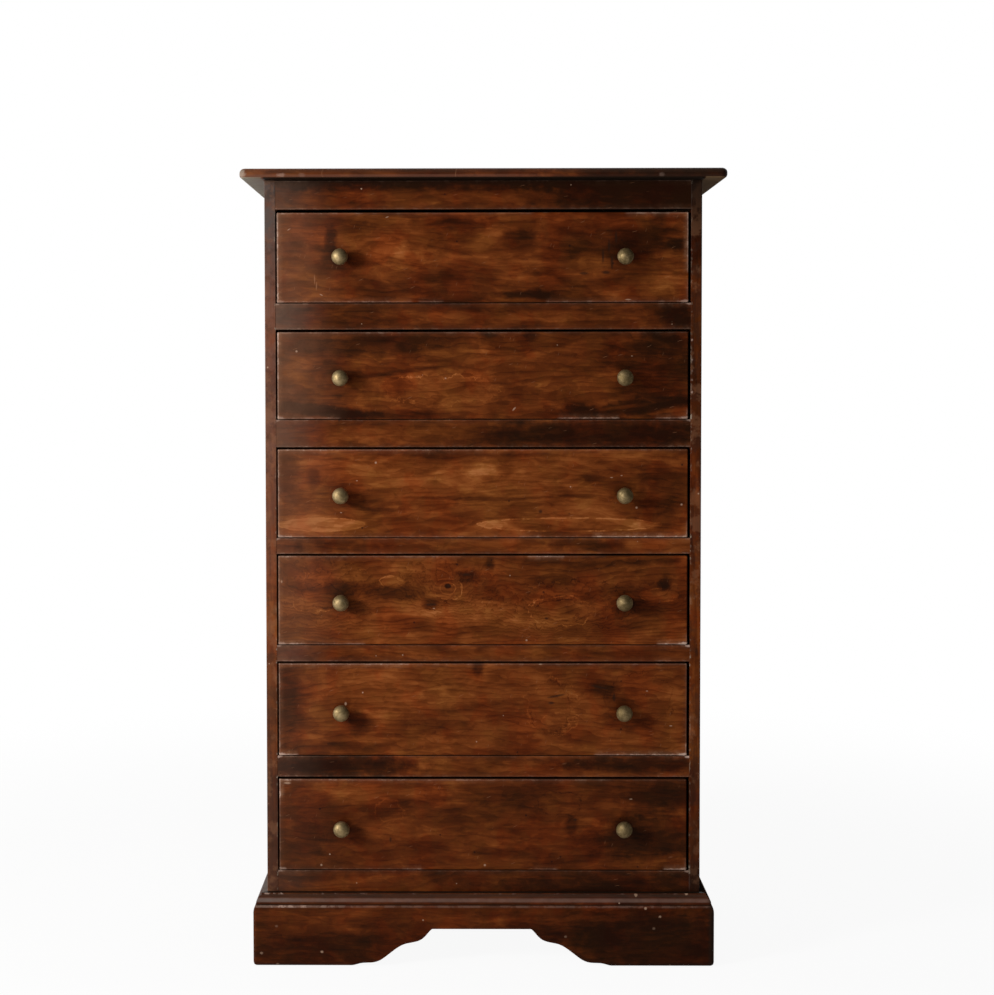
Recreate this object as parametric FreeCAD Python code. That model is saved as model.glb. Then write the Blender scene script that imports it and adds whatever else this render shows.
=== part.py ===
"""Semainier: a tall, narrow chest with six inset drawers, in stained solid pine.

The case is two side boards tied by front rails, tongue-and-groove back boards and a top board with a rounded
edge. It stands on a moulded plinth whose front and sides are sawn into scrolled bracket feet. Each drawer is
dovetailed, carries a plywood bottom in grooves, slides on wooden runners, and is pulled by two brass knobs.

Frame: millimetres, +X to the right seen from the front, +Y to the back, +Z up. The origin is on the floor, at
the middle of the overall width and depth.
"""
import FreeCAD
import Part
import math
import os

Vector = FreeCAD.Vector

# Case, from the floor up
CASE_WIDTH = 720.0
CASE_DEPTH = 405.0
SIDE_THICKNESS = 18.0
CASE_LIFT = 72.0  # underside of the case above the floor
BOTTOM_RAIL_HEIGHT = 84.0
OPENING_HEIGHTS = [153.5, 148.2, 150.1, 151.3, 157.2, 156.4]  # drawer openings, top one first
DIVIDER_HEIGHTS = [43.8, 45.9, 26.7, 27.8, 35.6]  # rails between them, top one first
TOP_RAIL_HEIGHT = 48.0
RAIL_DEPTH = 20.0
RAIL_SETBACK = 0.4  # rails sit this far behind the front edges of the sides
CASE_ARRIS = 1.5  # rounding of the outer front corners of the sides
RAIL_ARRIS = 0.8  # rounding of the rails' front edges and of the sides' inner front corners
TENON_LENGTH = 8.0
TENON_THICKNESS = 8.0
TENON_SHOULDER = 5.0

# Top board
TOP_THICKNESS = 16.5
TOP_OVERHANG = 35.0  # past the case at the front
TOP_END_OVERHANG = 37.5
TOP_CORNER_RADIUS = 11.0
TOP_UPPER_RADIUS = 7.5
TOP_LOWER_RADIUS = 6.0

# Back boards, tongue and groove, in rebates of the sides
BACK_THICKNESS = 8.0
BACK_BOARD_COUNT = 6
BACK_REBATE_WIDTH = 9.0
TONGUE_LENGTH = 5.0
TONGUE_THICKNESS = 3.0
TONGUE_PLAY = 0.2
BACK_BOARD_GAP = 0.8
BACK_EDGE_CHAMFER = 1.5

# Runners and kickers, screwed to the sides
RUNNER_WIDTH = 20.0
BOTTOM_RUNNER_HEIGHT = 32.0
KICKER_HEIGHT = 18.0

# Plinth
PLINTH_THICKNESS = 22.0
PLINTH_HEIGHT = 120.5
PLINTH_LEDGE_WIDTH = 9.0  # flat top of the moulding
PLINTH_LEDGE_HEIGHT = 3.0
OVOLO_WIDTH = 8.0
OVOLO_HEIGHT = 16.0
PLINTH_SHELF_WIDTH = 1.8  # step under the ovolo
PLINTH_EASE_HEIGHT = 15.0  # rounding from the step down to the flat face
FOOT_ROUND = 10.0
PLINTH_CORNER_RADIUS = 6.0
PLINTH_BACK_THICKNESS = 20.0
PLINTH_BACK_LIFT = 12.0
ARCH_HEIGHT = 63.5
FRONT_ARCH_FLAT = 164.0  # straight crown between the two front scrolls
FRONT_ARCH_SHIFT = -3.0  # the front arch is sawn a little left of the middle
FRONT_SCROLL_RUN = 135.0
SIDE_ARCH_FLAT = 76.0
SIDE_SCROLL_RUN = 84.0
# Scroll of a bracket foot, as shares of its run and of the arch height, from the foot to the crown
SCROLL = [(0.0, 0.0), (0.05, 0.04), (0.13, 0.095), (0.27, 0.115), (0.36, 0.175), (0.44, 0.29), (0.54, 0.455),
          (0.66, 0.6), (0.78, 0.655), (0.86, 0.715), (0.92, 0.82), (0.96, 0.92), (1.0, 1.0)]

# Glue blocks, inside the plinth and under the top
CORNER_BLOCK = 40.0
CORNER_BLOCK_LIFT = 3.0
TOP_BLOCK_LENGTH = 60.0
TOP_BLOCK_SIZE = 22.0
TOP_BLOCK_SHARES = (0.3, 0.85)  # places of the side blocks along the depth behind the rail

# Wood screws of the runners and blocks
SCREW_RADIUS = 2.0
SCREW_LENGTH = 32.0
SCREW_HEAD_RADIUS = 4.0
SCREW_HEAD_HEIGHT = 2.4
SCREW_PLAY = 0.05
SCREW_END_INSET = 45.0  # from the ends of a runner

# Drawers
DRAWER_SIDE_GAP = 3.0
DRAWER_SHIFT = -1.0  # the drawers hang a little to the left
DRAWER_TOP_GAPS = [4.5, 3.2, 2.6, 2.3, 2.2, 2.9]  # above each drawer front, top one first
DRAWER_FOOT_GAP = 0.6
DRAWER_REAR_GAP = 0.6  # to the back boards, where a closed drawer stops
DRAWER_PROUD = 1.0
DRAWER_FRONT_THICKNESS = 20.0
DRAWER_ARRIS = 2.0
DRAWER_CORNER_RADIUS = 3.0  # at the four corners of a drawer front, more than its arris
DRAWER_SIDE_THICKNESS = 12.0
DRAWER_BACK_THICKNESS = 12.0
DRAWER_SIDE_DROP = 7.0  # sides stop this far below the top of the front
DRAWER_BACK_DROP = 5.0  # back stops this far below the sides
BOTTOM_THICKNESS = 6.0
BOTTOM_LIFT = 9.0  # underside of the drawer bottom above the foot of the sides
GROOVE_DEPTH = 6.0
GROOVE_PLAY = 0.1
FRONT_TAIL_LENGTH = 13.0
TAIL_COUNT = 3
TAIL_END_WIDTH = 33.0
TAIL_FLARE = 2.4  # each side of a tail widens by this much towards its end

# Knobs, turned brass on machine screws
KNOB_SPACING = 467.5
KNOB_DROPS = [1.5, 5.35, 4.05, 3.4, 4.35, 5.2]  # below the middle of each opening
KNOB_RADIUS = 13.5
KNOB_BASE_RADIUS = 7.5
KNOB_BASE_HEIGHT = 1.8
KNOB_NECK_RADIUS = 4.6
KNOB_NECK_FLARE = 2.4
KNOB_WAIST = 19.5  # widest place of the head, from the drawer front
KNOB_SHOULDER_RADIUS = 8.5
KNOB_DOME_HEIGHT = 11.0  # crown above the widest place, more than the shoulder radius
KNOB_SCREW_RADIUS = 2.0
KNOB_SCREW_DEPTH = 11.0
KNOB_SCREW_PLAY = 0.05
FRONT_HOLE_PLAY = 0.3
PAN_HEAD_RADIUS = 4.2
PAN_HEAD_HEIGHT = 2.4
SLOT_WIDTH = 1.0
SLOT_DEPTH = 1.2

# Places that follow from the sizes above
TOP_DEPTH = CASE_DEPTH + TOP_OVERHANG
BACK_Y = TOP_DEPTH / 2
FRONT_Y = BACK_Y - CASE_DEPTH  # front edges of the sides
OUTER_X = CASE_WIDTH / 2
INNER_X = OUTER_X - SIDE_THICKNESS
BACK_INNER_Y = BACK_Y - BACK_THICKNESS
RAIL_FRONT_Y = FRONT_Y + RAIL_SETBACK
RAIL_BACK_Y = RAIL_FRONT_Y + RAIL_DEPTH
CASE_TOP_Z = (CASE_LIFT + BOTTOM_RAIL_HEIGHT + sum(OPENING_HEIGHTS) + sum(DIVIDER_HEIGHTS) + TOP_RAIL_HEIGHT)
TOTAL_HEIGHT = CASE_TOP_Z + TOP_THICKNESS
EPS = 1.0  # cutters reach this far past what they cut
UP = Vector(0, 0, 1)


def block(x, y, z):
    """A box from three (low, high) pairs."""
    return Part.makeBox(x[1] - x[0], y[1] - y[0], z[1] - z[0], Vector(x[0], y[0], z[0]))


def side_of(sign, low, high):
    """An X range measured outwards from the middle, on the left (-1) or right (+1)."""
    return (low, high) if sign > 0 else (-high, -low)


def fillet(shape, radius, wanted):
    """Rounds the edges whose middle point satisfies wanted."""
    edges = [e for e in shape.Edges if wanted(e)]
    return shape.makeFillet(radius, edges)


def middle(edge):
    return edge.valueAt((edge.FirstParameter + edge.LastParameter) / 2)


def near(a, b):
    return abs(a - b) < 1e-4


def cut_all(shape, cutters):
    for cutter in cutters:
        shape = shape.cut(cutter)
    return shape


def prism(points, sweep):
    """A closed polygon swept along a vector."""
    wire = Part.makePolygon([*points, points[0]])
    return Part.Face(wire).extrude(sweep)


def group(shapes):
    return Part.makeCompound(shapes)


def opening_levels():
    """(low, high) of each drawer opening, top one first."""
    levels = []
    high = CASE_TOP_Z - TOP_RAIL_HEIGHT
    for index, height in enumerate(OPENING_HEIGHTS):
        levels.append((high - height, high))
        if index < len(DIVIDER_HEIGHTS):
            high -= height + DIVIDER_HEIGHTS[index]
    return levels


OPENINGS = opening_levels()


def rail_levels():
    """Node name and (low, high) of every front rail."""
    levels = {"top_rail": (OPENINGS[0][1], CASE_TOP_Z)}
    for index in range(len(OPENINGS) - 1):
        levels[f"divider_rail_{index + 1}"] = (OPENINGS[index + 1][1], OPENINGS[index][0])
    levels["bottom_rail"] = (CASE_LIFT, OPENINGS[-1][0])
    return levels


RAILS = rail_levels()


# ---------------------------------------------------------------- case

def tenons(level):
    """The two stub tenons of a rail, as one box through both sides."""
    middle_y = RAIL_FRONT_Y + RAIL_DEPTH / 2
    reach = INNER_X + TENON_LENGTH
    return block((-reach, reach), (middle_y - TENON_THICKNESS / 2, middle_y + TENON_THICKNESS / 2),
                 (level[0] + TENON_SHOULDER, level[1] - TENON_SHOULDER))


def rail(level):
    body = block((-INNER_X, INNER_X), (RAIL_FRONT_Y, RAIL_BACK_Y), level)
    body = fillet(body, RAIL_ARRIS, lambda e: near(middle(e).y, RAIL_FRONT_Y) and near(middle(e).x, 0))
    return body.fuse(tenons(level)).removeSplitter()


def side_board(sign):
    """A side with mortises for the rails, a rebate for the back and screw holes for the runners."""
    board = block(side_of(sign, INNER_X, OUTER_X), (FRONT_Y, BACK_Y), (CASE_LIFT, CASE_TOP_Z))
    for x, radius in ((OUTER_X, CASE_ARRIS), (INNER_X, RAIL_ARRIS)):
        board = fillet(board, radius, lambda e: near(middle(e).x, sign * x) and near(middle(e).y, FRONT_Y))
    rebate = block(side_of(sign, INNER_X - EPS, INNER_X + BACK_REBATE_WIDTH), (BACK_INNER_Y, BACK_Y + EPS),
                   (CASE_LIFT - EPS, CASE_TOP_Z + EPS))
    board = cut_all(board, [rebate] + [tenons(level) for level in RAILS.values()])
    return cut_all(board, [screw_hole(*place) for place in runner_screws(sign)])


def top_board():
    half = OUTER_X + TOP_END_OVERHANG
    front = FRONT_Y - TOP_OVERHANG
    board = block((-half, half), (front, BACK_Y), (CASE_TOP_Z, TOTAL_HEIGHT))
    board = fillet(board, TOP_CORNER_RADIUS,
                   lambda e: near(middle(e).y, front) and near(abs(middle(e).x), half))
    for z, radius in ((TOTAL_HEIGHT, TOP_UPPER_RADIUS), (CASE_TOP_Z, TOP_LOWER_RADIUS)):
        board = fillet(board, radius, lambda e: near(middle(e).z, z) and not near(middle(e).y, BACK_Y))
    return cut_all(board, [screw_hole(*place) for place in top_screws()])


def back_board(index, pitch):
    """One back board: groove on its left edge, tongue on its right, chamfered on the outside."""
    last = index == BACK_BOARD_COUNT - 1
    left = -INNER_X - BACK_REBATE_WIDTH + index * pitch
    right = left + pitch - (0 if last else BACK_BOARD_GAP)
    mid = (BACK_INNER_Y + BACK_Y) / 2
    bevel = BACK_EDGE_CHAMFER
    outline = [(left, BACK_INNER_Y), (right, BACK_INNER_Y)]
    if not last:
        outline += [(right, mid - TONGUE_THICKNESS / 2), (right + TONGUE_LENGTH, mid - TONGUE_THICKNESS / 2),
                    (right + TONGUE_LENGTH, mid + TONGUE_THICKNESS / 2), (right, mid + TONGUE_THICKNESS / 2)]
    outline += [(right, BACK_Y - bevel), (right - bevel, BACK_Y), (left + bevel, BACK_Y), (left, BACK_Y - bevel)]
    if index > 0:
        depth = TONGUE_LENGTH - BACK_BOARD_GAP + 2 * TONGUE_PLAY
        half = TONGUE_THICKNESS / 2 + TONGUE_PLAY
        outline += [(left, mid + half), (left + depth, mid + half), (left + depth, mid - half), (left, mid - half)]
    return prism([Vector(x, y, CASE_LIFT) for x, y in outline], UP * (CASE_TOP_Z - CASE_LIFT))


def back_boards():
    pitch = 2 * (INNER_X + BACK_REBATE_WIDTH) / BACK_BOARD_COUNT
    return group([back_board(index, pitch) for index in range(BACK_BOARD_COUNT)])


def runner_levels():
    """(low, high) of every strip on a side: behind each divider, under the last drawer and over the first."""
    dividers = [level for name, level in RAILS.items() if name.startswith("divider")]
    lowest, highest = OPENINGS[-1][0], OPENINGS[0][1]
    return [*dividers, (lowest - BOTTOM_RUNNER_HEIGHT, lowest), (highest, highest + KICKER_HEIGHT)]


def runner(sign, level):
    strip = block(side_of(sign, INNER_X - RUNNER_WIDTH, INNER_X), (RAIL_BACK_Y, BACK_INNER_Y), level)
    return cut_all(strip, [screw_hole(*place) for place in runner_screws(sign, level)])


def runners():
    return group([runner(sign, level) for level in runner_levels() for sign in (-1, 1)])


# ---------------------------------------------------------------- wood screws

def screw(head, direction, play=0.0):
    """A countersunk wood screw whose flat head lies at a point. With play, the hole that takes it."""
    neck = SCREW_RADIUS + play
    rim = SCREW_HEAD_RADIUS + play
    cone = Part.makeCone(rim, neck, SCREW_HEAD_HEIGHT, head, direction)
    shank_start = head + direction * SCREW_HEAD_HEIGHT
    shank = Part.makeCylinder(neck, SCREW_LENGTH - SCREW_HEAD_HEIGHT + play, shank_start, direction)
    return cone.fuse(shank).removeSplitter()


def screw_hole(head, direction):
    return screw(head, direction, SCREW_PLAY)


def runner_screws(sign, level=None):
    """Head place and direction of each screw through the runners of one side, or through one runner."""
    levels = runner_levels() if level is None else [level]
    places = []
    for low, high in levels:
        for y in (RAIL_BACK_Y + SCREW_END_INSET, BACK_INNER_Y - SCREW_END_INSET):
            places.append((Vector(sign * (INNER_X - RUNNER_WIDTH), y, (low + high) / 2), Vector(sign, 0, 0)))
    return places


def top_block_places():
    """Middle (x, y) of each block under the top: two on each side board and two on the top rail."""
    side_x = INNER_X - TOP_BLOCK_SIZE / 2
    rail_y = RAIL_BACK_Y + TOP_BLOCK_SIZE / 2
    side_ys = [RAIL_BACK_Y + share * (BACK_INNER_Y - RAIL_BACK_Y) for share in TOP_BLOCK_SHARES]
    sides = [(sign * side_x, y, False) for sign in (-1, 1) for y in side_ys]
    return sides + [(sign * INNER_X / 2, rail_y, True) for sign in (-1, 1)]


def top_screws():
    low = CASE_TOP_Z - TOP_BLOCK_SIZE
    return [(Vector(x, y, low), UP) for x, y, _ in top_block_places()]


def case_screws():
    places = runner_screws(-1) + runner_screws(1) + top_screws()
    return group([screw(*place) for place in places])


# ---------------------------------------------------------------- plinth

def plinth_outline():
    """Section of a plinth board as (outwards from the case, up) points and edges, closed."""
    shelf_z = PLINTH_HEIGHT - PLINTH_LEDGE_HEIGHT - OVOLO_HEIGHT
    ledge = PLINTH_LEDGE_WIDTH
    ovolo_end = ledge + OVOLO_WIDTH
    arris = ovolo_end + PLINTH_SHELF_WIDTH
    face = PLINTH_THICKNESS
    ease_z = shelf_z - PLINTH_EASE_HEIGHT
    root = math.sqrt(0.5)
    ovolo_mid = (ledge + OVOLO_WIDTH * root, shelf_z + OVOLO_HEIGHT * root)
    # circle tangent to the flat face at ease_z and passing through the arris
    inset = face - arris
    ease_radius = (inset ** 2 + PLINTH_EASE_HEIGHT ** 2) / (2 * inset)
    half_turn = math.asin(PLINTH_EASE_HEIGHT / ease_radius) / 2
    ease_mid = (face - ease_radius * (1 - math.cos(half_turn)), ease_z + ease_radius * math.sin(half_turn))
    foot_mid = (face - FOOT_ROUND * (1 - root), FOOT_ROUND * (1 - root))
    return [
        ("line", (0, 0), (face - FOOT_ROUND, 0)),
        ("arc", (face - FOOT_ROUND, 0), foot_mid, (face, FOOT_ROUND)),
        ("line", (face, FOOT_ROUND), (face, ease_z)),
        ("arc", (face, ease_z), ease_mid, (arris, shelf_z)),
        ("line", (arris, shelf_z), (ovolo_end, shelf_z)),
        ("arc", (ovolo_end, shelf_z), ovolo_mid, (ledge, shelf_z + OVOLO_HEIGHT)),
        ("line", (ledge, shelf_z + OVOLO_HEIGHT), (ledge, PLINTH_HEIGHT)),
        ("line", (ledge, PLINTH_HEIGHT), (0, PLINTH_HEIGHT)),
        ("line", (0, PLINTH_HEIGHT), (0, 0)),
    ]


def plinth_section(place):
    """The section as a face, each (out, up) point put in space by place(out, up)."""
    edges = []
    for kind, *points in plinth_outline():
        spots = [place(*point) for point in points]
        curve = Part.LineSegment(*spots) if kind == "line" else Part.Arc(*spots)
        edges.append(curve.toShape())
    return Part.Face(Part.Wire(edges))


def arch(flat, run, place, sweep):
    """Cutter for the scrolled gap under a board. place(along, up) puts a point of the outline in space."""
    half = flat / 2
    low = -EPS
    scroll = [(half + run * (1 - along), ARCH_HEIGHT * up) for along, up in SCROLL]
    foot_end, crown_end = scroll[0][0], half
    edges = []
    for sign in (-1, 1):
        curve = Part.BSplineCurve()
        curve.interpolate([place(sign * along, up) for along, up in scroll])
        edges.append(curve.toShape())
        edges.append(Part.LineSegment(place(sign * foot_end, 0), place(sign * foot_end, low)).toShape())
    edges.append(Part.LineSegment(place(-crown_end, ARCH_HEIGHT), place(crown_end, ARCH_HEIGHT)).toShape())
    edges.append(Part.LineSegment(place(-foot_end, low), place(foot_end, low)).toShape())
    wire = Part.Wire(Part.__sortEdges__(edges))
    return Part.Face(wire).extrude(sweep)


def mitre_cutter(sign, keep_front):
    """Half space on one side of the 45 degree plane through a front corner of the plinth."""
    corner_x, corner_y = OUTER_X, FRONT_Y
    far = CASE_WIDTH + CASE_DEPTH
    if keep_front:  # removes what lies beyond the mitre, seen from the front board
        points = [(corner_x - far, corner_y + far), (corner_x + far, corner_y - far), (corner_x + far, corner_y + far)]
    else:
        points = [(corner_x - far, corner_y + far), (corner_x + far, corner_y - far), (corner_x - far, corner_y - far)]
    return prism([Vector(sign * x, y, -EPS) for x, y in points], UP * (PLINTH_HEIGHT + 2 * EPS))


def rounded_plan():
    """The plinth's outer plan with its two front corners rounded, as a solid that the boards are trimmed to."""
    end = OUTER_X + PLINTH_THICKNESS
    front = FRONT_Y - PLINTH_THICKNESS
    plan = block((-end, end), (front, BACK_Y), (-EPS, PLINTH_HEIGHT + EPS))
    return fillet(plan, PLINTH_CORNER_RADIUS, lambda e: near(middle(e).y, front) and near(abs(middle(e).x), end))


def plinth_front():
    end = OUTER_X + PLINTH_THICKNESS
    section = plinth_section(lambda out, up: Vector(-end, FRONT_Y - out, up))
    board = section.extrude(Vector(2 * end, 0, 0)).common(rounded_plan())
    board = cut_all(board, [mitre_cutter(-1, True), mitre_cutter(1, True)])
    gap = arch(FRONT_ARCH_FLAT, FRONT_SCROLL_RUN,
               lambda along, up: Vector(along + FRONT_ARCH_SHIFT, FRONT_Y + EPS, up),
               Vector(0, -PLINTH_THICKNESS - 2 * EPS, 0))
    return board.cut(gap)


def plinth_side(sign):
    front = FRONT_Y - PLINTH_THICKNESS
    section = plinth_section(lambda out, up: Vector(sign * (OUTER_X + out), front, up))
    board = section.extrude(Vector(0, BACK_Y - front, 0)).common(rounded_plan()).cut(mitre_cutter(sign, False))
    middle_y = (front + BACK_Y) / 2
    gap = arch(SIDE_ARCH_FLAT, SIDE_SCROLL_RUN, lambda along, up: Vector(sign * (OUTER_X - EPS), middle_y + along, up),
               Vector(sign * (PLINTH_THICKNESS + 2 * EPS), 0, 0))
    return board.cut(gap)


def plinth_back():
    """Plain rear board under the case, held clear of the floor."""
    return block((-OUTER_X, OUTER_X), (BACK_Y - PLINTH_BACK_THICKNESS, BACK_Y), (PLINTH_BACK_LIFT, CASE_LIFT))


def glue_blocks():
    """Blocks in the corners of the plinth, under the sides, and blocks that hold the top."""
    blocks = []
    ys = ((FRONT_Y, FRONT_Y + CORNER_BLOCK),
          (BACK_Y - PLINTH_BACK_THICKNESS - CORNER_BLOCK, BACK_Y - PLINTH_BACK_THICKNESS))
    for sign in (-1, 1):
        for y in ys:
            blocks.append(block(side_of(sign, OUTER_X - CORNER_BLOCK, OUTER_X), y, (CORNER_BLOCK_LIFT, CASE_LIFT)))
    for x, y, along_x in top_block_places():
        half_x, half_y = TOP_BLOCK_SIZE / 2, TOP_BLOCK_LENGTH / 2
        if along_x:
            half_x, half_y = half_y, half_x
        piece = block((x - half_x, x + half_x), (y - half_y, y + half_y), (CASE_TOP_Z - TOP_BLOCK_SIZE, CASE_TOP_Z))
        blocks.append(piece.cut(screw_hole(Vector(x, y, CASE_TOP_Z - TOP_BLOCK_SIZE), UP)))
    return group(blocks)


# ---------------------------------------------------------------- drawers

class Drawer:
    """Places and pieces of one drawer, closed in its opening."""

    def __init__(self, index):
        low, high = OPENINGS[index]
        self.foot = low + DRAWER_FOOT_GAP
        self.top = high - DRAWER_TOP_GAPS[index]
        self.side_top = self.top - DRAWER_SIDE_DROP
        self.half = INNER_X - DRAWER_SIDE_GAP
        self.inner = self.half - DRAWER_SIDE_THICKNESS
        self.face_y = FRONT_Y - DRAWER_PROUD
        self.front_back_y = self.face_y + DRAWER_FRONT_THICKNESS
        self.end_y = BACK_INNER_Y - DRAWER_REAR_GAP
        self.back_y = self.end_y - DRAWER_BACK_THICKNESS
        self.bottom_low = self.foot + BOTTOM_LIFT
        self.bottom_high = self.bottom_low + BOTTOM_THICKNESS
        self.knob_z = (low + high) / 2 - KNOB_DROPS[index]
        self.knob_xs = (-KNOB_SPACING / 2, KNOB_SPACING / 2)

    def tails(self, sign, low, high, base_y, end_y):
        """Dovetail tails of one side between two heights, from their base to their wider ends."""
        pitch = (high - low) / TAIL_COUNT
        x = sign * self.inner
        found = []
        for number in range(TAIL_COUNT):
            centre = low + pitch * (number + 0.5)
            end_half = TAIL_END_WIDTH / 2
            base_half = end_half - TAIL_FLARE
            outline = [(base_y, centre - base_half), (end_y, centre - end_half), (end_y, centre + end_half),
                       (base_y, centre + base_half)]
            found.append(prism([Vector(x, y, z) for y, z in outline], Vector(sign * DRAWER_SIDE_THICKNESS, 0, 0)))
        return found

    def front_tails(self, sign):
        return self.tails(sign, self.foot, self.side_top, self.front_back_y, self.front_back_y - FRONT_TAIL_LENGTH)

    def back_tails(self, sign):
        return self.tails(sign, self.bottom_high, self.side_top - DRAWER_BACK_DROP, self.back_y, self.end_y)

    def groove(self):
        """The slot that takes the bottom, cut in the front and both sides."""
        reach = self.inner + GROOVE_DEPTH
        return block((-reach, reach), (self.front_back_y - GROOVE_DEPTH, self.end_y + EPS),
                     (self.bottom_low - GROOVE_PLAY, self.bottom_high + GROOVE_PLAY))

    def front(self):
        board = block((-self.half, self.half), (self.face_y, self.front_back_y), (self.foot, self.top))
        centre_y = (self.face_y + self.front_back_y) / 2
        board = fillet(board, DRAWER_CORNER_RADIUS, lambda e: near(middle(e).y, centre_y))
        board = fillet(board, DRAWER_ARRIS, lambda e: near(middle(e).y, self.face_y))
        cutters = self.front_tails(-1) + self.front_tails(1) + [self.groove()]
        for x in self.knob_xs:
            cutters.append(Part.makeCylinder(KNOB_SCREW_RADIUS + FRONT_HOLE_PLAY, DRAWER_FRONT_THICKNESS + 2 * EPS,
                                             Vector(x, self.face_y - EPS, self.knob_z), Vector(0, 1, 0)))
        return cut_all(board, cutters)

    def side(self, sign):
        x = side_of(sign, self.inner, self.half)
        body = block(x, (self.front_back_y, self.back_y), (self.foot, self.side_top))
        heel = block(x, (self.back_y, self.end_y), (self.foot, self.bottom_high))
        crest = block(x, (self.back_y, self.end_y), (self.side_top - DRAWER_BACK_DROP, self.side_top))
        for piece in [heel, crest, *self.front_tails(sign), *self.back_tails(sign)]:
            body = body.fuse(piece)
        return body.removeSplitter().cut(self.groove())

    def back(self):
        board = block((-self.half, self.half), (self.back_y, self.end_y),
                      (self.bottom_high, self.side_top - DRAWER_BACK_DROP))
        return cut_all(board, self.back_tails(-1) + self.back_tails(1))

    def bottom(self):
        reach = self.inner + GROOVE_DEPTH - GROOVE_PLAY
        return block((-reach, reach), (self.front_back_y - GROOVE_DEPTH + GROOVE_PLAY, self.end_y),
                     (self.bottom_low, self.bottom_high))

    def knobs(self):
        return group([knob(Vector(x, self.face_y, self.knob_z)) for x in self.knob_xs])

    def knob_screws(self):
        return group([knob_screw(Vector(x, self.front_back_y, self.knob_z)) for x in self.knob_xs])

    def pieces(self):
        """Node suffix and shape of every piece, moved to where the drawer hangs."""
        made = {
            "front": self.front(),
            "side_left": self.side(-1),
            "side_right": self.side(1),
            "back": self.back(),
            "bottom": self.bottom(),
            "knobs": self.knobs(),
            "knob_screws": self.knob_screws(),
        }
        return {name: shape.translated(Vector(DRAWER_SHIFT, 0, 0)) for name, shape in made.items()}


def knob(base):
    """A round knob pointing forwards: a small foot, a waisted neck and a flattened ball, with a blind hole."""
    # half section in the XY plane: X is the radius, Y the distance in front of the drawer
    root = math.sqrt(0.5)
    foot, neck, shoulder = KNOB_BASE_RADIUS, KNOB_NECK_RADIUS, KNOB_SHOULDER_RADIUS
    flare = foot - neck
    flare_end = KNOB_BASE_HEIGHT + KNOB_NECK_FLARE
    flare_mid = Vector(foot - flare * root, flare_end - KNOB_NECK_FLARE * root, 0)
    # the shoulder is a circle about (ring, waist); the crown is a larger circle about the axis, tangent to it
    ring = KNOB_RADIUS - shoulder
    rise = KNOB_DOME_HEIGHT - shoulder
    crown_depth = (ring ** 2 - rise ** 2) / (2 * rise)
    crown_radius = crown_depth + KNOB_DOME_HEIGHT
    crown_centre = KNOB_WAIST - crown_depth
    meet_angle = math.atan2(crown_depth, ring)

    def on_shoulder(angle):
        return Vector(ring + shoulder * math.cos(angle), KNOB_WAIST + shoulder * math.sin(angle), 0)

    def on_crown(angle):
        return Vector(crown_radius * math.cos(angle), crown_centre + crown_radius * math.sin(angle), 0)

    start_angle = -math.acos((neck - ring) / shoulder)
    start, meet, tip = on_shoulder(start_angle), on_shoulder(meet_angle), Vector(0, KNOB_WAIST + KNOB_DOME_HEIGHT, 0)
    edges = [
        Part.LineSegment(Vector(0, 0, 0), Vector(foot, 0, 0)),
        Part.LineSegment(Vector(foot, 0, 0), Vector(foot, KNOB_BASE_HEIGHT, 0)),
        Part.Arc(Vector(foot, KNOB_BASE_HEIGHT, 0), flare_mid, Vector(neck, flare_end, 0)),
        Part.LineSegment(Vector(neck, flare_end, 0), start),
        Part.Arc(start, on_shoulder((start_angle + meet_angle) / 2), meet),
        Part.Arc(meet, on_crown((meet_angle + math.pi / 2) / 2), tip),
        Part.LineSegment(tip, Vector(0, 0, 0)),
    ]
    section = Part.Face(Part.Wire([e.toShape() for e in edges]))
    body = section.revolve(Vector(0, 0, 0), Vector(0, 1, 0), 360)
    body.rotate(Vector(0, 0, 0), Vector(0, 0, 1), 180)
    body.translate(base)
    hole = Part.makeCylinder(KNOB_SCREW_RADIUS + KNOB_SCREW_PLAY, KNOB_SCREW_DEPTH + 2 * KNOB_SCREW_PLAY,
                             base, Vector(0, -1, 0))
    return body.cut(hole)


def knob_screw(seat):
    """A slotted pan-head screw: its head is inside the drawer and its shank runs forwards into the knob."""
    length = DRAWER_FRONT_THICKNESS + KNOB_SCREW_DEPTH
    shank = Part.makeCylinder(KNOB_SCREW_RADIUS, length, seat, Vector(0, -1, 0))
    head = Part.makeCylinder(PAN_HEAD_RADIUS, PAN_HEAD_HEIGHT, seat, Vector(0, 1, 0))
    rim = PAN_HEAD_HEIGHT / 3
    head = fillet(head, rim, lambda e: near(middle(e).y, seat.y + PAN_HEAD_HEIGHT))
    end_y = seat.y + PAN_HEAD_HEIGHT
    slot = block((seat.x - PAN_HEAD_RADIUS - EPS, seat.x + PAN_HEAD_RADIUS + EPS), (end_y - SLOT_DEPTH, end_y + EPS),
                 (seat.z - SLOT_WIDTH / 2, seat.z + SLOT_WIDTH / 2))
    return head.cut(slot).fuse(shank).removeSplitter()


# ---------------------------------------------------------------- the whole chest

def chest():
    """Every node's name and shape."""
    nodes = {
        "top_board": top_board(),
        "case_side_left": side_board(-1),
        "case_side_right": side_board(1),
        "back_boards": back_boards(),
        "runners_and_kickers": runners(),
        "case_screws": case_screws(),
        "plinth_front": plinth_front(),
        "plinth_left": plinth_side(-1),
        "plinth_right": plinth_side(1),
        "plinth_back": plinth_back(),
        "glue_blocks": glue_blocks(),
    }
    for name, level in RAILS.items():
        nodes[name] = rail(level)
    for index in range(len(OPENINGS)):
        for suffix, shape in Drawer(index).pieces().items():
            nodes[f"drawer_{index + 1}_{suffix}"] = shape
    return nodes


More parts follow.
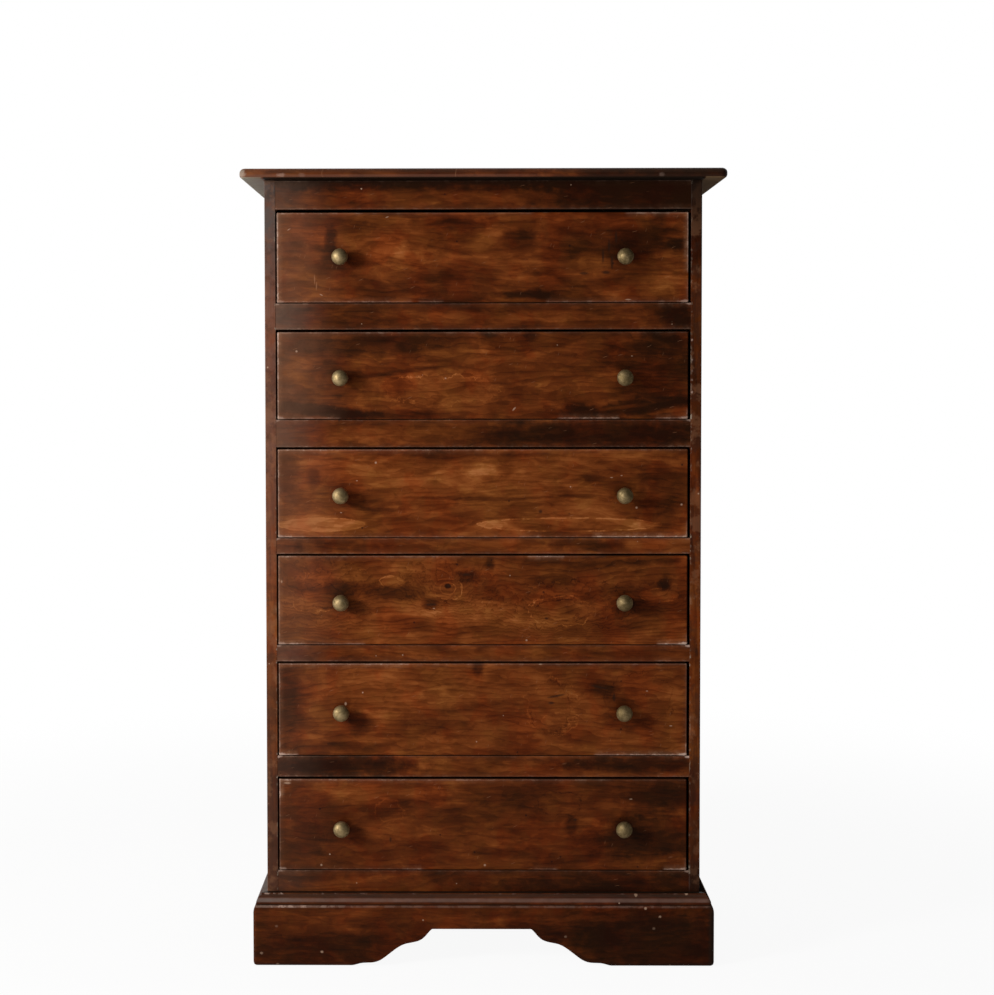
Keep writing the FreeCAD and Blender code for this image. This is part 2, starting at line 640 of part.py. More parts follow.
def main():
    os.makedirs("parts", exist_ok=True)
    for name, shape in chest().items():
        if not shape.Solids or not all(solid.isValid() and solid.Volume > 0 for solid in shape.Solids):
            raise ValueError(f"{name} is not made of valid closed solids")
        shape.exportStep(os.path.join("parts", f"{name}.step"))


main()
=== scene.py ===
import math
import bpy
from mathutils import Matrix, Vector


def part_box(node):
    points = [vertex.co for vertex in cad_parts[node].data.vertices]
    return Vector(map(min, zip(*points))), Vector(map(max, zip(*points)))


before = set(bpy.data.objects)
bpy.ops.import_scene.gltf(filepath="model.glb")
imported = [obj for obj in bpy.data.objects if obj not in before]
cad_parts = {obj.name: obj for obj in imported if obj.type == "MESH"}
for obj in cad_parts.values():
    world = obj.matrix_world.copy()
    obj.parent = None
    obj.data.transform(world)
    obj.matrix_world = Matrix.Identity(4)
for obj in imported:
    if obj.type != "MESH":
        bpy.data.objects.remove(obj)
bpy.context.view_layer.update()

# ---- camera

PHOTO_WIDTH = 994
PHOTO_HEIGHT = 995
FOCAL_LENGTH = 1850.4  # pixels
AXIS_COLUMN = 448.9  # pixels from the left of the image to where the camera's axis meets it
AXIS_ROW = 440.9  # pixels from the top
CAMERA_X = -0.029
CAMERA_HEIGHT = 0.9865
CAMERA_DISTANCE = 3.0542  # in front of the case
CAMERA_PITCH = math.radians(2.151)  # downwards
CAMERA_YAW = math.radians(-0.514)  # to the right
CAMERA_ROLL = math.radians(-0.064)
SENSOR_WIDTH = 36.0


def make_camera(case_front):
    longer = max(PHOTO_WIDTH, PHOTO_HEIGHT)
    data = bpy.data.cameras.new("camera")
    data.sensor_width = SENSOR_WIDTH
    data.lens = FOCAL_LENGTH / longer * SENSOR_WIDTH
    data.shift_x = (PHOTO_WIDTH / 2 - AXIS_COLUMN) / longer
    data.shift_y = (AXIS_ROW - PHOTO_HEIGHT / 2) / longer
    data.clip_end = 100.0
    camera = bpy.data.objects.new("camera", data)
    camera.location = (CAMERA_X, case_front - CAMERA_DISTANCE, CAMERA_HEIGHT)
    camera.rotation_euler = (math.pi / 2 - CAMERA_PITCH, -CAMERA_ROLL, -CAMERA_YAW)
    bpy.context.scene.collection.objects.link(camera)
    bpy.context.scene.camera = camera


# ---- node trees

class Tree:
    """A node tree made by short calls that take and return sockets."""

    def __init__(self, tree):
        self.tree = tree
        self.tree.nodes.clear()

    def put(self, kind, inputs=None, **settings):
        node = self.tree.nodes.new(kind)
        for key, value in settings.items():
            setattr(node, key, value)
        for key, value in (inputs or {}).items():
            self.feed(node.inputs[key], value)
        return node

    def feed(self, socket, value):
        if isinstance(value, bpy.types.NodeSocket):
            self.tree.links.new(value, socket)
        else:
            socket.default_value = value

    def math(self, operation, *values):
        return self.put("ShaderNodeMath", dict(enumerate(values)), operation=operation).outputs[0]

    def vector(self, operation, *values):
        node = self.put("ShaderNodeVectorMath", dict(enumerate(values)), operation=operation)
        return node.outputs["Value" if operation in ("LENGTH", "DOT_PRODUCT") else "Vector"]

    def add(self, first, *others):
        for other in others:
            first = self.math("ADD", first, other)
        return first

    def minus(self, first, second):
        return self.math("SUBTRACT", first, second)

    def times(self, first, *others):
        for other in others:
            first = self.math("MULTIPLY", first, other)
        return first

    def highest(self, first, *others):
        for other in others:
            first = self.math("MAXIMUM", first, other)
        return first

    def swing(self, value, amount):
        """A value that varies about a half, as a swing about zero."""
        return self.times(self.minus(value, 0.5), amount)

    def combine(self, x, y, z):
        return self.put("ShaderNodeCombineXYZ", {0: x, 1: y, 2: z}).outputs[0]

    def separate(self, vector):
        return self.put("ShaderNodeSeparateXYZ", {0: vector}).outputs

    def noise(self, vector, scale, detail, roughness, distortion=0.0):
        inputs = {"Vector": vector, "Scale": scale, "Detail": detail, "Roughness": roughness,
                  "Distortion": distortion}
        return self.put("ShaderNodeTexNoise", inputs).outputs["Fac"]

    def cells(self, vector, scale):
        return self.put("ShaderNodeTexVoronoi", {"Vector": vector, "Scale": scale}).outputs

    def step(self, value, low, high, to_low=0.0, to_high=1.0):
        """A smooth step from to_low at low to to_high at high. Low may be above high."""
        inputs = {"Value": value, "From Min": low, "From Max": high, "To Min": to_low, "To Max": to_high}
        return self.put("ShaderNodeMapRange", inputs, interpolation_type="SMOOTHSTEP").outputs[0]

    def band(self, value, start, full, fade, end):
        """1 from full to fade, and 0 before start and after end."""
        return self.times(self.step(value, start, full), self.step(value, end, fade))

    def ramp(self, factor, stops):
        node = self.put("ShaderNodeValToRGB", {"Fac": factor})
        elements = node.color_ramp.elements
        while len(elements) < len(stops):
            elements.new(0.5)
        for element, (position, colour) in zip(elements, stops):
            element.position = position
            element.color = (*colour, 1.0)
        return node.outputs["Color"]

    def mix(self, factor, first, second, blend="MIX"):
        node = self.put("ShaderNodeMix", data_type="RGBA", blend_type=blend)
        self.feed(node.inputs["Factor"], factor)
        for name, value in (("A", first), ("B", second)):
            socket = [s for s in node.inputs if s.name == name and s.type == "RGBA"][0]
            self.feed(socket, (*value, 1.0) if isinstance(value, tuple) else value)
        return [s for s in node.outputs if s.type == "RGBA"][0]

    def bump(self, height, distance, strength):
        inputs = {"Height": height, "Distance": distance, "Strength": strength}
        return self.put("ShaderNodeBump", inputs).outputs[0]


class Material(Tree):
    """A material with a Principled shader, whose constant inputs are set on the shader itself."""

    def __init__(self, name, **constants):
        self.material = bpy.data.materials.new(name)
        self.material.use_nodes = True
        super().__init__(self.material.node_tree)
        self.shader = self.put("ShaderNodeBsdfPrincipled")
        for key, value in constants.items():
            self.shader.inputs[key.replace("_", " ")].default_value = value
        self.output = self.put("ShaderNodeOutputMaterial")
        self.feed(self.output.inputs["Surface"], self.shader.outputs[0])
        self.place = self.put("ShaderNodeTexCoord").outputs["Object"]

    def link(self, name, value):
        self.feed(self.shader.inputs[name], value)


def new_group(name, inputs, outputs):
    """A node group with float sockets: its tree, the Tree that fills it and its input sockets."""
    tree = bpy.data.node_groups.new(name, "ShaderNodeTree")
    for way, sockets in (("INPUT", inputs), ("OUTPUT", outputs)):
        for socket in sockets:
            tree.interface.new_socket(socket, in_out=way, socket_type="NodeSocketFloat")
    filler = Tree(tree)
    return tree, filler, filler.put("NodeGroupInput").outputs


def dress(name, material):
    """Gives a CAD node one material."""
    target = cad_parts[name]
    target.data.materials.clear()
    target.data.materials.append(material)


# ---- wood figure

RIM_WIDTH = 0.0018  # from the middle of the line round a patch to where it has faded
RING_DENSITY = 95.0  # growth rings in a metre across a stained board
PLAIN_RING_DENSITY = 110.0
RING_TILT = 0.6  # share of the depth that counts as across, so that the rings run slanting through a board
RING_DRIFT = 12.0  # how many rings a slow noise moves them by
RING_WAVE = 3.0
RING_SHARPNESS = 3.0
RINGS_A_SEED = 17.0
SEED_MOVE = (3.71, 1.37, 7.13)  # metres by which one step of the seed moves the figure
COARSE_SHARE = 0.75

# Noise in the figure: cells in a metre along and across the grain, detail, roughness and distortion.
LAYERS = {
    "slow": (1.7, 8.0, 1.0, 0.5, 0.0),
    "wavy": (12.0, 40.0, 2.0, 0.5, 0.0),
    "coarse": (30.0, 80.0, 2.0, 0.5, 0.9),
    "small": (80.0, 170.0, 2.0, 0.5, 0.9),
    "pale": (12.0, 96.0, 1.0, 0.5, 0.5),
    "dark": (14.0, 104.0, 1.0, 0.5, 0.8),
    "fibre": (14.0, 420.0, 2.0, 0.6, 0.0),
    "streak": (13.0, 76.0, 2.0, 0.42, 0.4),
    "blotch": (14.0, 36.0, 3.0, 0.45, 0.8),
    "broad": (4.5, 12.0, 2.0, 0.5, 0.3),
    "pores": (60.0, 700.0, 1.0, 0.5, 0.0),
}
# The noise at which a layer has none of its mark, and at which it has all of it.
LIMITS = {"coarse": (0.48, 0.57), "small": (0.5, 0.6), "pale": (0.57, 0.68), "dark": (0.43, 0.33),
          "pores": (0.62, 0.72)}


def grain_group():
    """Figure of a board. Along, Across and Depth are metres, and Lift moves the rings, as round knots."""
    outputs = ("Rings", "Fibre", "Streak", "Blotch", "Broad", "Flakes", "Dashes", "Pores")
    places = ("Along", "Across", "Depth")
    tree, g, inputs = new_group("grain", (*places, "Seed", "Lift", "Density"), outputs)
    seed = inputs["Seed"]
    place = g.combine(*(g.add(inputs[name], g.times(seed, move)) for name, move in zip(places, SEED_MOVE)))

    def layer(name):
        along, across, *character = LAYERS[name]
        value = g.noise(g.vector("MULTIPLY", place, (along, across, across)), 1.0, *character)
        return g.step(value, *LIMITS[name]) if name in LIMITS else value

    rise = g.times(g.add(inputs["Across"], g.times(inputs["Depth"], RING_TILT)), inputs["Density"])
    slow = g.swing(layer("slow"), RING_DRIFT)
    wavy = g.swing(layer("wavy"), RING_WAVE)
    level = g.add(rise, slow, wavy, inputs["Lift"], g.times(seed, RINGS_A_SEED))
    coarse = g.times(layer("coarse"), COARSE_SHARE)
    values = {
        "Rings": g.math("POWER", g.math("FRACT", level), RING_SHARPNESS),
        "Flakes": g.add(coarse, g.times(layer("small"), 1.0 - COARSE_SHARE)),
        "Dashes": g.minus(layer("pale"), layer("dark")),
    }
    for name in ("Fibre", "Streak", "Blotch", "Broad", "Pores"):
        values[name] = layer(name.lower())
    output = g.put("NodeGroupOutput")
    for name, value in values.items():
        g.feed(output.inputs[name], value)
    return tree


LEAST_SLANT = 0.001  # keeps the middle of a patch from a division by nothing


def patch_group():
    """Mask is 1 inside a soft, uneven ellipse that may slope. Rim is 1 on a line round it."""
    names = ("Along", "Across", "Wobble", "X", "Z", "Half X", "Half Z", "Slope", "Soft", "Uneven")
    tree, g, inputs = new_group("patch", names, ("Mask", "Rim"))
    run = g.minus(inputs["Along"], inputs["X"])
    rise = g.minus(g.minus(inputs["Across"], inputs["Z"]), g.times(run, inputs["Slope"]))
    halves = g.combine(inputs["Half X"], inputs["Half Z"], 1.0)
    spot = g.vector("DIVIDE", g.combine(run, rise, 0.0), halves)
    reach = g.vector("LENGTH", spot)
    radius = g.add(reach, g.swing(inputs["Wobble"], inputs["Uneven"]))
    slant = g.vector("LENGTH", g.vector("DIVIDE", spot, halves))
    steepness = g.math("DIVIDE", g.highest(slant, LEAST_SLANT), reach)
    from_line = g.math("DIVIDE", g.math("ABSOLUTE", g.minus(radius, 1.0)), steepness)
    output = g.put("NodeGroupOutput")
    g.feed(output.inputs["Mask"], g.step(radius, g.add(1.0, inputs["Soft"]), g.minus(1.0, inputs["Soft"])))
    g.feed(output.inputs["Rim"], g.step(from_line, RIM_WIDTH, 0.0))
    return tree


GRAIN = grain_group()
PATCH = patch_group()

STAIN = [
    (0.0, (0.016, 0.0044, 0.0013)),
    (0.2, (0.031, 0.0071, 0.0015)),
    (0.38, (0.06, 0.0126, 0.0022)),
    (0.54, (0.098, 0.0215, 0.0036)),
    (0.7, (0.155, 0.038, 0.0067)),
    (0.85, (0.222, 0.062, 0.013)),
    (1.0, (0.32, 0.108, 0.031)),
]
WORN = (0.45, 0.31, 0.245)  # bare wood and old filler on worn edges
FILLER = (0.26, 0.2, 0.145)
# dark colour for dirt and for painted shade in gaps, grooves and shadowed places
PAINTED_SHADE_AND_GRIME = (0.013, 0.007, 0.004)
PORE = (0.008, 0.003, 0.002)
PAINTED_SHEEN = (0.165, 0.082, 0.048)  # painted sheen of the light from the left on the varnish, with some dust
# painted cool sheen of the light from the left, with some dust
COLD_SHEEN = (0.076, 0.056, 0.048)
# pale colour for old filler and for the painted sheen on the plinth's moulding
PALE_FILLER_AND_SHEEN = (0.19, 0.115, 0.09)
SCUFF = (0.26, 0.115, 0.055)
SCORE = (0.02, 0.008, 0.004)
PALE_SPECK = (0.4, 0.255, 0.17)
DARK_SPECK = (0.01, 0.004, 0.003)
RUBBED = (0.3, 0.155, 0.085)  # stain rubbed thin beside a worn edge
RUBBED_REACH = 0.012
PINE_LIGHT = (0.52, 0.35, 0.19)
PINE_DARK = (0.33, 0.2, 0.1)
RED_TINT = (1.0, 0.74, 0.62)
GOLDEN_TINT = (0.98, 1.18, 1.08)
RIM_GAIN = 1.9
EDGE_RAMP = 0.008  # over which a worn span of an edge fades out
DARK_EDGE_WIDTH = 0.0012  # grime and painted shade of the gaps reach this far in from an edge
MIDDLE_SHADE = 0.47
CLOUDS = {"Broad": 0.44, "Blotch": 0.64}  # weights of the figure's parts in the shade
FIGURE = {"Streak": 0.14, "Flakes": 0.1, "Fibre": 0.006}
DASHES = 0.06
RELIEF = {"Fibre": 0.12, "Pores": -0.15, "Flakes": 0.25, "Blotch": 0.8}
RELIEF_HEIGHT = 0.00045
RELIEF_STRENGTH = 0.6
ROUGHNESS = 0.44
SUNK = -0.3  # relief of a dent or a chip
DEEP = -0.5
CELL_EDGE = 0.002  # step between the cells of a scatter that have a mark and the others
WOBBLE = (55.0, 3.0, 0.6)  # coarse noise on outlines: cells in a metre, detail and roughness
BITS = (210.0, 2.0, 0.6)  # fine noise on outlines
HUE = (16.0, 3.0, 0.6)
THINNESS = 14.0  # of scratches: length over width
FRONT_REACH = 0.03  # how far the wear of a front edge goes back


class Board(Material):
    """Stained and worn wood on one board. Places on it are metres from the middle of its box."""

    def __init__(self, node, seed, axes="xzy", tone=0.0, rings=0.09, contrast=1.0, knots=(), length=1.0):
        super().__init__(node + "_wood", Specular_IOR_Level=0.05)
        self.node = node
        self.seed = seed
        self.low, self.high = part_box(node)
        self.middle = (self.low + self.high) / 2
        self.spots = self.separate(self.place)
        axes = ["xyz".index(letter) for letter in axes]
        self.along, self.across, depth = (self.minus(self.spots[axis], self.middle[axis]) for axis in axes)
        self.wobble = self.noise(self.moved(1.0), *WOBBLE)
        self.bits = self.noise(self.moved(2.0), *BITS)
        lift = 0.0
        for x, z, half_x, half_z, rise in knots:
            lift = self.add(lift, self.times(self.patch(x, z, half_x, half_z, 0.0, 0.95)["Mask"], rise))
        inputs = {"Along": self.times(self.along, 1.0 / length), "Across": self.across, "Depth": depth,
                  "Seed": seed, "Lift": lift, "Density": RING_DENSITY}
        self.grain = grain = self.put("ShaderNodeGroup", inputs, node_tree=GRAIN).outputs
        clouds = self.add(*(self.swing(grain[part], weight) for part, weight in CLOUDS.items()))
        figure = self.add(*(self.swing(grain[part], weight) for part, weight in FIGURE.items()))
        lines = self.add(self.swing(grain["Rings"], -rings), self.times(grain["Dashes"], DASHES))
        self.shade = self.add(MIDDLE_SHADE + tone, self.times(clouds, contrast), figure, lines)
        self.relief = self.add(*(self.times(grain[part], weight) for part, weight in RELIEF.items()))
        self.rough = self.add(ROUGHNESS, self.swing(grain["Blotch"], 0.22), self.swing(self.bits, 0.1))

    def moved(self, layer):
        """The place in another part of the noise, so that boards and layers don't repeat each other."""
        return self.vector("ADD", self.place, (layer * 5.3, self.seed * 2.9, layer + self.seed))

    def patch(self, x, z, half_x, half_z, slope=0.0, soft=0.6, uneven=1.6):
        inputs = {"Along": self.along, "Across": self.across, "Wobble": self.wobble, "X": x, "Z": z,
                  "Half X": half_x, "Half Z": half_z, "Slope": slope, "Soft": soft, "Uneven": uneven}
        return self.put("ShaderNodeGroup", inputs, node_tree=PATCH).outputs

    def stain_patches(self, patches):
        """Darkens (strength below 0) or lightens the stain in soft ellipses."""
        for x, z, half_x, half_z, strength, *shape in patches:
            mask = self.patch(x, z, half_x, half_z, *shape)["Mask"]
            self.shade = self.add(self.shade, self.times(mask, strength))

    def stain_rims(self, rims):
        """Thin broken lines of figure that run round an ellipse, as about a knot."""
        broken = self.add(0.4, self.broken(0.55, 8.0, 45.0))
        for x, z, half_x, half_z, strength, uneven in rims:
            rim = self.patch(x, z, half_x, half_z, uneven=uneven)["Rim"]
            self.shade = self.add(self.shade, self.times(rim, broken, strength * RIM_GAIN))

    def edge_distance(self, axis, high_side):
        if high_side:
            return self.minus(self.high[axis], self.spots[axis])
        return self.minus(self.spots[axis], self.low[axis])

    def darken_edge(self, axis, high_side, reach, strength):
        """Darkens the stain towards one edge of the front."""
        uneven = self.add(self.edge_distance(axis, high_side), self.swing(self.wobble, reach))
        self.shade = self.minus(self.shade, self.times(self.step(uneven, reach, 0.0), strength))

    def finish_stain(self):
        """Turns the shade into colour, with redder and more golden places, and dark pores."""
        colour = self.ramp(self.shade, STAIN)
        hue = self.noise(self.moved(3.0), *HUE)
        colour = self.mix(self.step(hue, 0.5, 0.62, 0.0, 0.7), colour, RED_TINT, "MULTIPLY")
        colour = self.mix(self.step(hue, 0.48, 0.38, 0.0, 0.5), colour, GOLDEN_TINT, "MULTIPLY")
        self.colour = self.mix(self.times(self.grain["Pores"], 0.12), colour, PORE)

    def cover(self, mask, colour, height=0.0):
        """Lays another colour over the stain where the mask is 1, raised or sunk a little."""
        self.colour = self.mix(mask, self.colour, colour)
        if height:
            self.relief = self.add(self.relief, self.times(mask, height))

    def near_front(self, reach=0.004):
        return self.step(self.minus(self.spots[1], self.low.y), reach, reach / 2)

    def broken(self, amount, layer, scale=70.0):
        """A mask broken up by noise: nearly nowhere at amount 0, nearly everywhere at 1."""
        edge = 0.72 - 0.44 * amount
        return self.step(self.noise(self.moved(layer), scale, 4.0, 0.7), edge, edge + 0.1)

    def worn_line(self, axis, high_side, spans, width=0.0036):
        """Pale bare wood just inside an edge of the front, over spans of (start, end, strength)."""
        run = self.along if axis == 2 else self.across
        distance = self.add(self.edge_distance(axis, high_side), self.swing(self.bits, 0.0018))
        windows = [self.times(self.band(run, start - EDGE_RAMP, start, end, end + EDGE_RAMP), strength)
                   for start, end, strength in spans]
        uneven = self.add(0.5, self.times(self.broken(0.5, 4.0 + 2.0 * axis + high_side), 0.8))
        line = self.band(distance, DARK_EDGE_WIDTH / 3, DARK_EDGE_WIDTH, width / 2, width)
        worn = self.times(self.near_front(), self.highest(*windows), uneven)
        self.cover(self.times(worn, self.step(distance, RUBBED_REACH, DARK_EDGE_WIDTH), 0.55), RUBBED)
        self.cover(self.times(worn, line), WORN, SUNK)

    def shade_and_grime_edges(self, axes, strength=0.8):
        """Dirt, and painted shade of the gaps, along the very edges of the front."""
        distances = [self.edge_distance(axis, high_side) for axis in axes for high_side in (False, True)]
        nearest = distances[0]
        for distance in distances[1:]:
            nearest = self.math("MINIMUM", nearest, distance)
        uneven = self.add(nearest, self.swing(self.bits, DARK_EDGE_WIDTH))
        self.cover(self.times(self.step(uneven, DARK_EDGE_WIDTH, DARK_EDGE_WIDTH / 3), strength), PAINTED_SHADE_AND_GRIME)

    def scatter(self, place, scale, amount):
        """How far a point is from its cell's middle, and 1 in a share (amount) of the cells."""
        found = self.cells(place, scale)
        chance = self.separate(found["Color"])[0]
        return found["Distance"], self.step(chance, 1.0 - amount, 1.0 - amount + CELL_EDGE)

    def specks(self, density, amount, size, colour, height):
        """Small dots scattered over the board."""
        distance, rare = self.scatter(self.moved(density), density, amount)
        radius = self.add(distance, self.swing(self.bits, 0.08))
        dot = self.step(radius, size * density, size * density / 2)
        self.cover(self.times(rare, dot, 0.75), colour, height)

    def scratches(self, angle, scale, amount, colour):
        """Short thin marks at an angle to the grain, in radians."""
        cosine, sine = math.cos(angle), math.sin(angle)
        run = self.add(self.times(self.along, cosine), self.times(self.across, sine))
        rise = self.minus(self.times(self.across, cosine), self.times(self.along, sine))
        warped = self.add(rise, self.swing(self.wobble, 0.004))
        cell = self.combine(self.times(run, scale), self.times(warped, scale * THINNESS), self.seed + angle)
        distance, rare = self.scatter(cell, 1.0, amount)
        self.cover(self.times(rare, self.step(distance, 0.22, 0.12), 0.5), colour, SUNK)

    def marks(self, places, strength, colour):
        """Single dents, chips and splits at (x, z, half length, half height[, slope])."""
        for x, z, half_x, half_z, *slope in places:
            mask = self.patch(x, z, half_x, half_z, *slope, soft=0.5, uneven=1.2)["Mask"]
            self.cover(self.times(mask, strength), colour, SUNK)

    def dab(self, x, z, half_x, half_z, strength, colour):
        """A spot of colour at a place in the frame, on what faces the front."""
        run = self.math("DIVIDE", self.minus(self.spots[0], x), half_x)
        rise = self.math("DIVIDE", self.minus(self.spots[2], z), half_z)
        radius = self.add(self.vector("LENGTH", self.combine(run, rise, 0.0)), self.swing(self.bits, 1.4))
        self.cover(self.times(self.step(radius, 1.5, 0.6), self.near_front(FRONT_REACH), strength), colour)

    def haze(self, side, reach, strength, colour=PAINTED_SHEEN):
        """Painted sheen of the light, with some dust, that fades from the left (-1) or right (+1) end of the
        front.
        """
        start = self.low.x if side < 0 else self.high.x
        mask = self.step(self.spots[0], start - side * reach, start)
        self.cover(self.times(mask, self.add(0.6, self.times(self.wobble, 0.8)), strength), colour)

    def done(self):
        self.link("Base Color", self.colour)
        self.link("Roughness", self.rough)
        self.link("Normal", self.bump(self.relief, RELIEF_HEIGHT, RELIEF_STRENGTH))
        dress(self.node, self.material)


# ---- other materials

BACK_LIGHT = (0.3, 0.16, 0.085)
BACK_DARK = (0.16, 0.08, 0.04)
PLY_LIGHT = (0.58, 0.42, 0.25)
PLY_DARK = (0.42, 0.28, 0.15)
BRASS = [(0.3, (0.15, 0.105, 0.045)), (0.5, (0.305, 0.22, 0.108)), (0.7, (0.46, 0.34, 0.18))]
STEEL = [(0.3, (0.25, 0.24, 0.23)), (0.7, (0.5, 0.49, 0.47))]


def plain_wood(name, seed, axes, light, dark):
    wood = Material(name, Specular_IOR_Level=0.3)
    spots = wood.separate(wood.place)
    along, across, depth = ("xyz".index(letter) for letter in axes)
    inputs = {"Along": spots[along], "Across": spots[across], "Depth": spots[depth], "Seed": seed,
              "Lift": 0.0, "Density": PLAIN_RING_DENSITY}
    grain = wood.put("ShaderNodeGroup", inputs, node_tree=GRAIN).outputs
    shade = wood.add(wood.times(grain["Rings"], 0.4), wood.times(grain["Blotch"], 0.35),
                     wood.times(grain["Fibre"], 0.3))
    wood.link("Base Color", wood.ramp(shade, [(0.15, dark), (0.85, light)]))
    wood.link("Roughness", wood.step(grain["Fibre"], 0.3, 0.7, 0.72, 0.58))
    wood.link("Normal", wood.bump(grain["Fibre"], 0.0002, 0.4))
    return wood.material


def brass():
    metal = Material("antique_brass", Metallic=1.0)
    tarnish = metal.noise(metal.place, 90.0, 4.0, 0.6, 0.6)
    fine = metal.noise(metal.place, 420.0, 2.0, 0.6)
    # the knobs on the right are darker: painted shade
    shaded_right = metal.step(metal.separate(metal.place)[0], 0.0, 0.1)
    tone = metal.add(metal.times(tarnish, 0.8), metal.times(fine, 0.2), metal.times(shaded_right, -0.1))
    metal.link("Base Color", metal.ramp(tone, BRASS))
    metal.link("Roughness", metal.step(tone, 0.35, 0.65, 0.68, 0.56))
    metal.link("Normal", metal.bump(tone, 0.0002, 0.3))
    return metal.material


def steel():
    metal = Material("dull_steel", Metallic=1.0)
    stain = metal.noise(metal.place, 260.0, 3.0, 0.6)
    metal.link("Base Color", metal.ramp(stain, STEEL))
    metal.link("Roughness", metal.step(stain, 0.3, 0.7, 0.5, 0.35))
    return metal.material


# ---- stage and lamps

FLOOR_SIZE = 14.0
FLOOR_COLOUR = (0.8, 0.79, 0.78)
FLOOR_NEAR = 0.9  # out to this radius the floor shows the shadow
FLOOR_FAR = 2.4
FLOOR_GLOW = 0.93  # share of plain white in the floor that the camera sees near the object
AMBIENT = 0.2
ROOM_IN_GLOSS = 0.035  # what gloss mirrors of the room behind the camera
WINDOW_GLOW = 1.2  # of the bright side of the room
WINDOW_SIDE = Vector((-0.8, -0.58, 0.16)).normalized()
WINDOW_EDGE = (0.7, 0.97)  # cosines to that side at which the glow begins and is full
BEHIND = (-0.1, 0.25)  # how far back a direction points where gloss begins to mirror plain white
KEY_PLACE = (-2.35, -1.6, 1.45)  # from the middle of the case's front, as is where it aims
KEY_AIM = (0.0, 0.0, 0.75)
KEY_SIZE = (0.6, 0.6)
KEY_POWER = 76.0
TOP_LIGHT_PLACE = (0.0, 0.5, 3.2)
TOP_LIGHT_AIM = (0.0, 0.1, 1.3)
TOP_LIGHT_SIZE = (1.6, 1.2)
TOP_LIGHT_POWER = 14.0


def make_floor():
    mesh = bpy.data.meshes.new("floor")
    half = FLOOR_SIZE / 2
    corners = [(-half, -half, 0), (half, -half, 0), (half, half, 0), (-half, half, 0)]
    mesh.from_pydata(corners, [], [(0, 1, 2, 3)])
    floor = bpy.data.objects.new("floor", mesh)
    bpy.context.scene.collection.objects.link(floor)
    paint = Material("pale_floor", Base_Color=(*FLOOR_COLOUR, 1.0), Roughness=0.9, Specular_IOR_Level=0.0)
    white = paint.put("ShaderNodeEmission", {"Color": (1, 1, 1, 1), "Strength": 1.0}).outputs[0]
    path = paint.put("ShaderNodeLightPath").outputs
    radius = paint.vector("LENGTH", paint.place)
    seen = paint.times(path["Is Camera Ray"], paint.step(radius, FLOOR_NEAR, FLOOR_FAR, FLOOR_GLOW, 1.0))
    mirrored = paint.times(paint.highest(path["Is Glossy Ray"], path["Is Transmission Ray"]),
                           paint.step(paint.separate(paint.place)[1], FLOOR_NEAR, FLOOR_FAR))
    inputs = {0: paint.add(seen, mirrored), 1: paint.shader.outputs[0], 2: white}
    paint.feed(paint.output.inputs["Surface"], paint.put("ShaderNodeMixShader", inputs).outputs[0])
    floor.data.materials.append(paint.material)


def make_world():
    world = bpy.data.worlds.new("studio")
    bpy.context.scene.world = world
    world.use_nodes = True
    tree = Tree(world.node_tree)
    path = tree.put("ShaderNodeLightPath").outputs
    direction = tree.put("ShaderNodeTexCoord").outputs["Generated"]
    facing = tree.vector("DOT_PRODUCT", direction, tuple(WINDOW_SIDE))
    gloss = tree.highest(path["Is Glossy Ray"], path["Is Transmission Ray"])
    plain = tree.step(gloss, 0.0, 1.0, AMBIENT, ROOM_IN_GLOSS)
    room = tree.add(plain, tree.step(facing, *WINDOW_EDGE, 0.0, WINDOW_GLOW))
    behind = tree.step(tree.separate(direction)[1], *BEHIND)
    strength = tree.highest(room, path["Is Camera Ray"], tree.times(gloss, behind))
    background = tree.put("ShaderNodeBackground", {"Color": (1, 1, 1, 1), "Strength": strength})
    output = tree.put("ShaderNodeOutputWorld")
    tree.feed(output.inputs["Surface"], background.outputs[0])


def area_lamp(name, place, target, size, power):
    data = bpy.data.lights.new(name, "AREA")
    data.shape = "RECTANGLE"
    data.size, data.size_y = size
    data.energy = power
    lamp = bpy.data.objects.new(name, data)
    lamp.location = place
    lamp.rotation_euler = (target - place).to_track_quat("-Z", "Y").to_euler()
    bpy.context.scene.collection.objects.link(lamp)


def make_lamps(case_front):
    front = Vector((0.0, case_front, 0.0))
    area_lamp("key", front + Vector(KEY_PLACE), front + Vector(KEY_AIM), KEY_SIZE, KEY_POWER)
    area_lamp("top_light", Vector(TOP_LIGHT_PLACE), Vector(TOP_LIGHT_AIM), TOP_LIGHT_SIZE, TOP_LIGHT_POWER)


# ---- the chest

MIDDLE_COLUMN = 483.5  # of the chest in the photo, where its drawer fronts are
FLOOR_ROW = 967.49  # where the plane of the drawer fronts meets the floor
PIXEL_WIDTH = 0.00165  # metres on the drawer fronts
PIXEL_HEIGHT = 0.001657
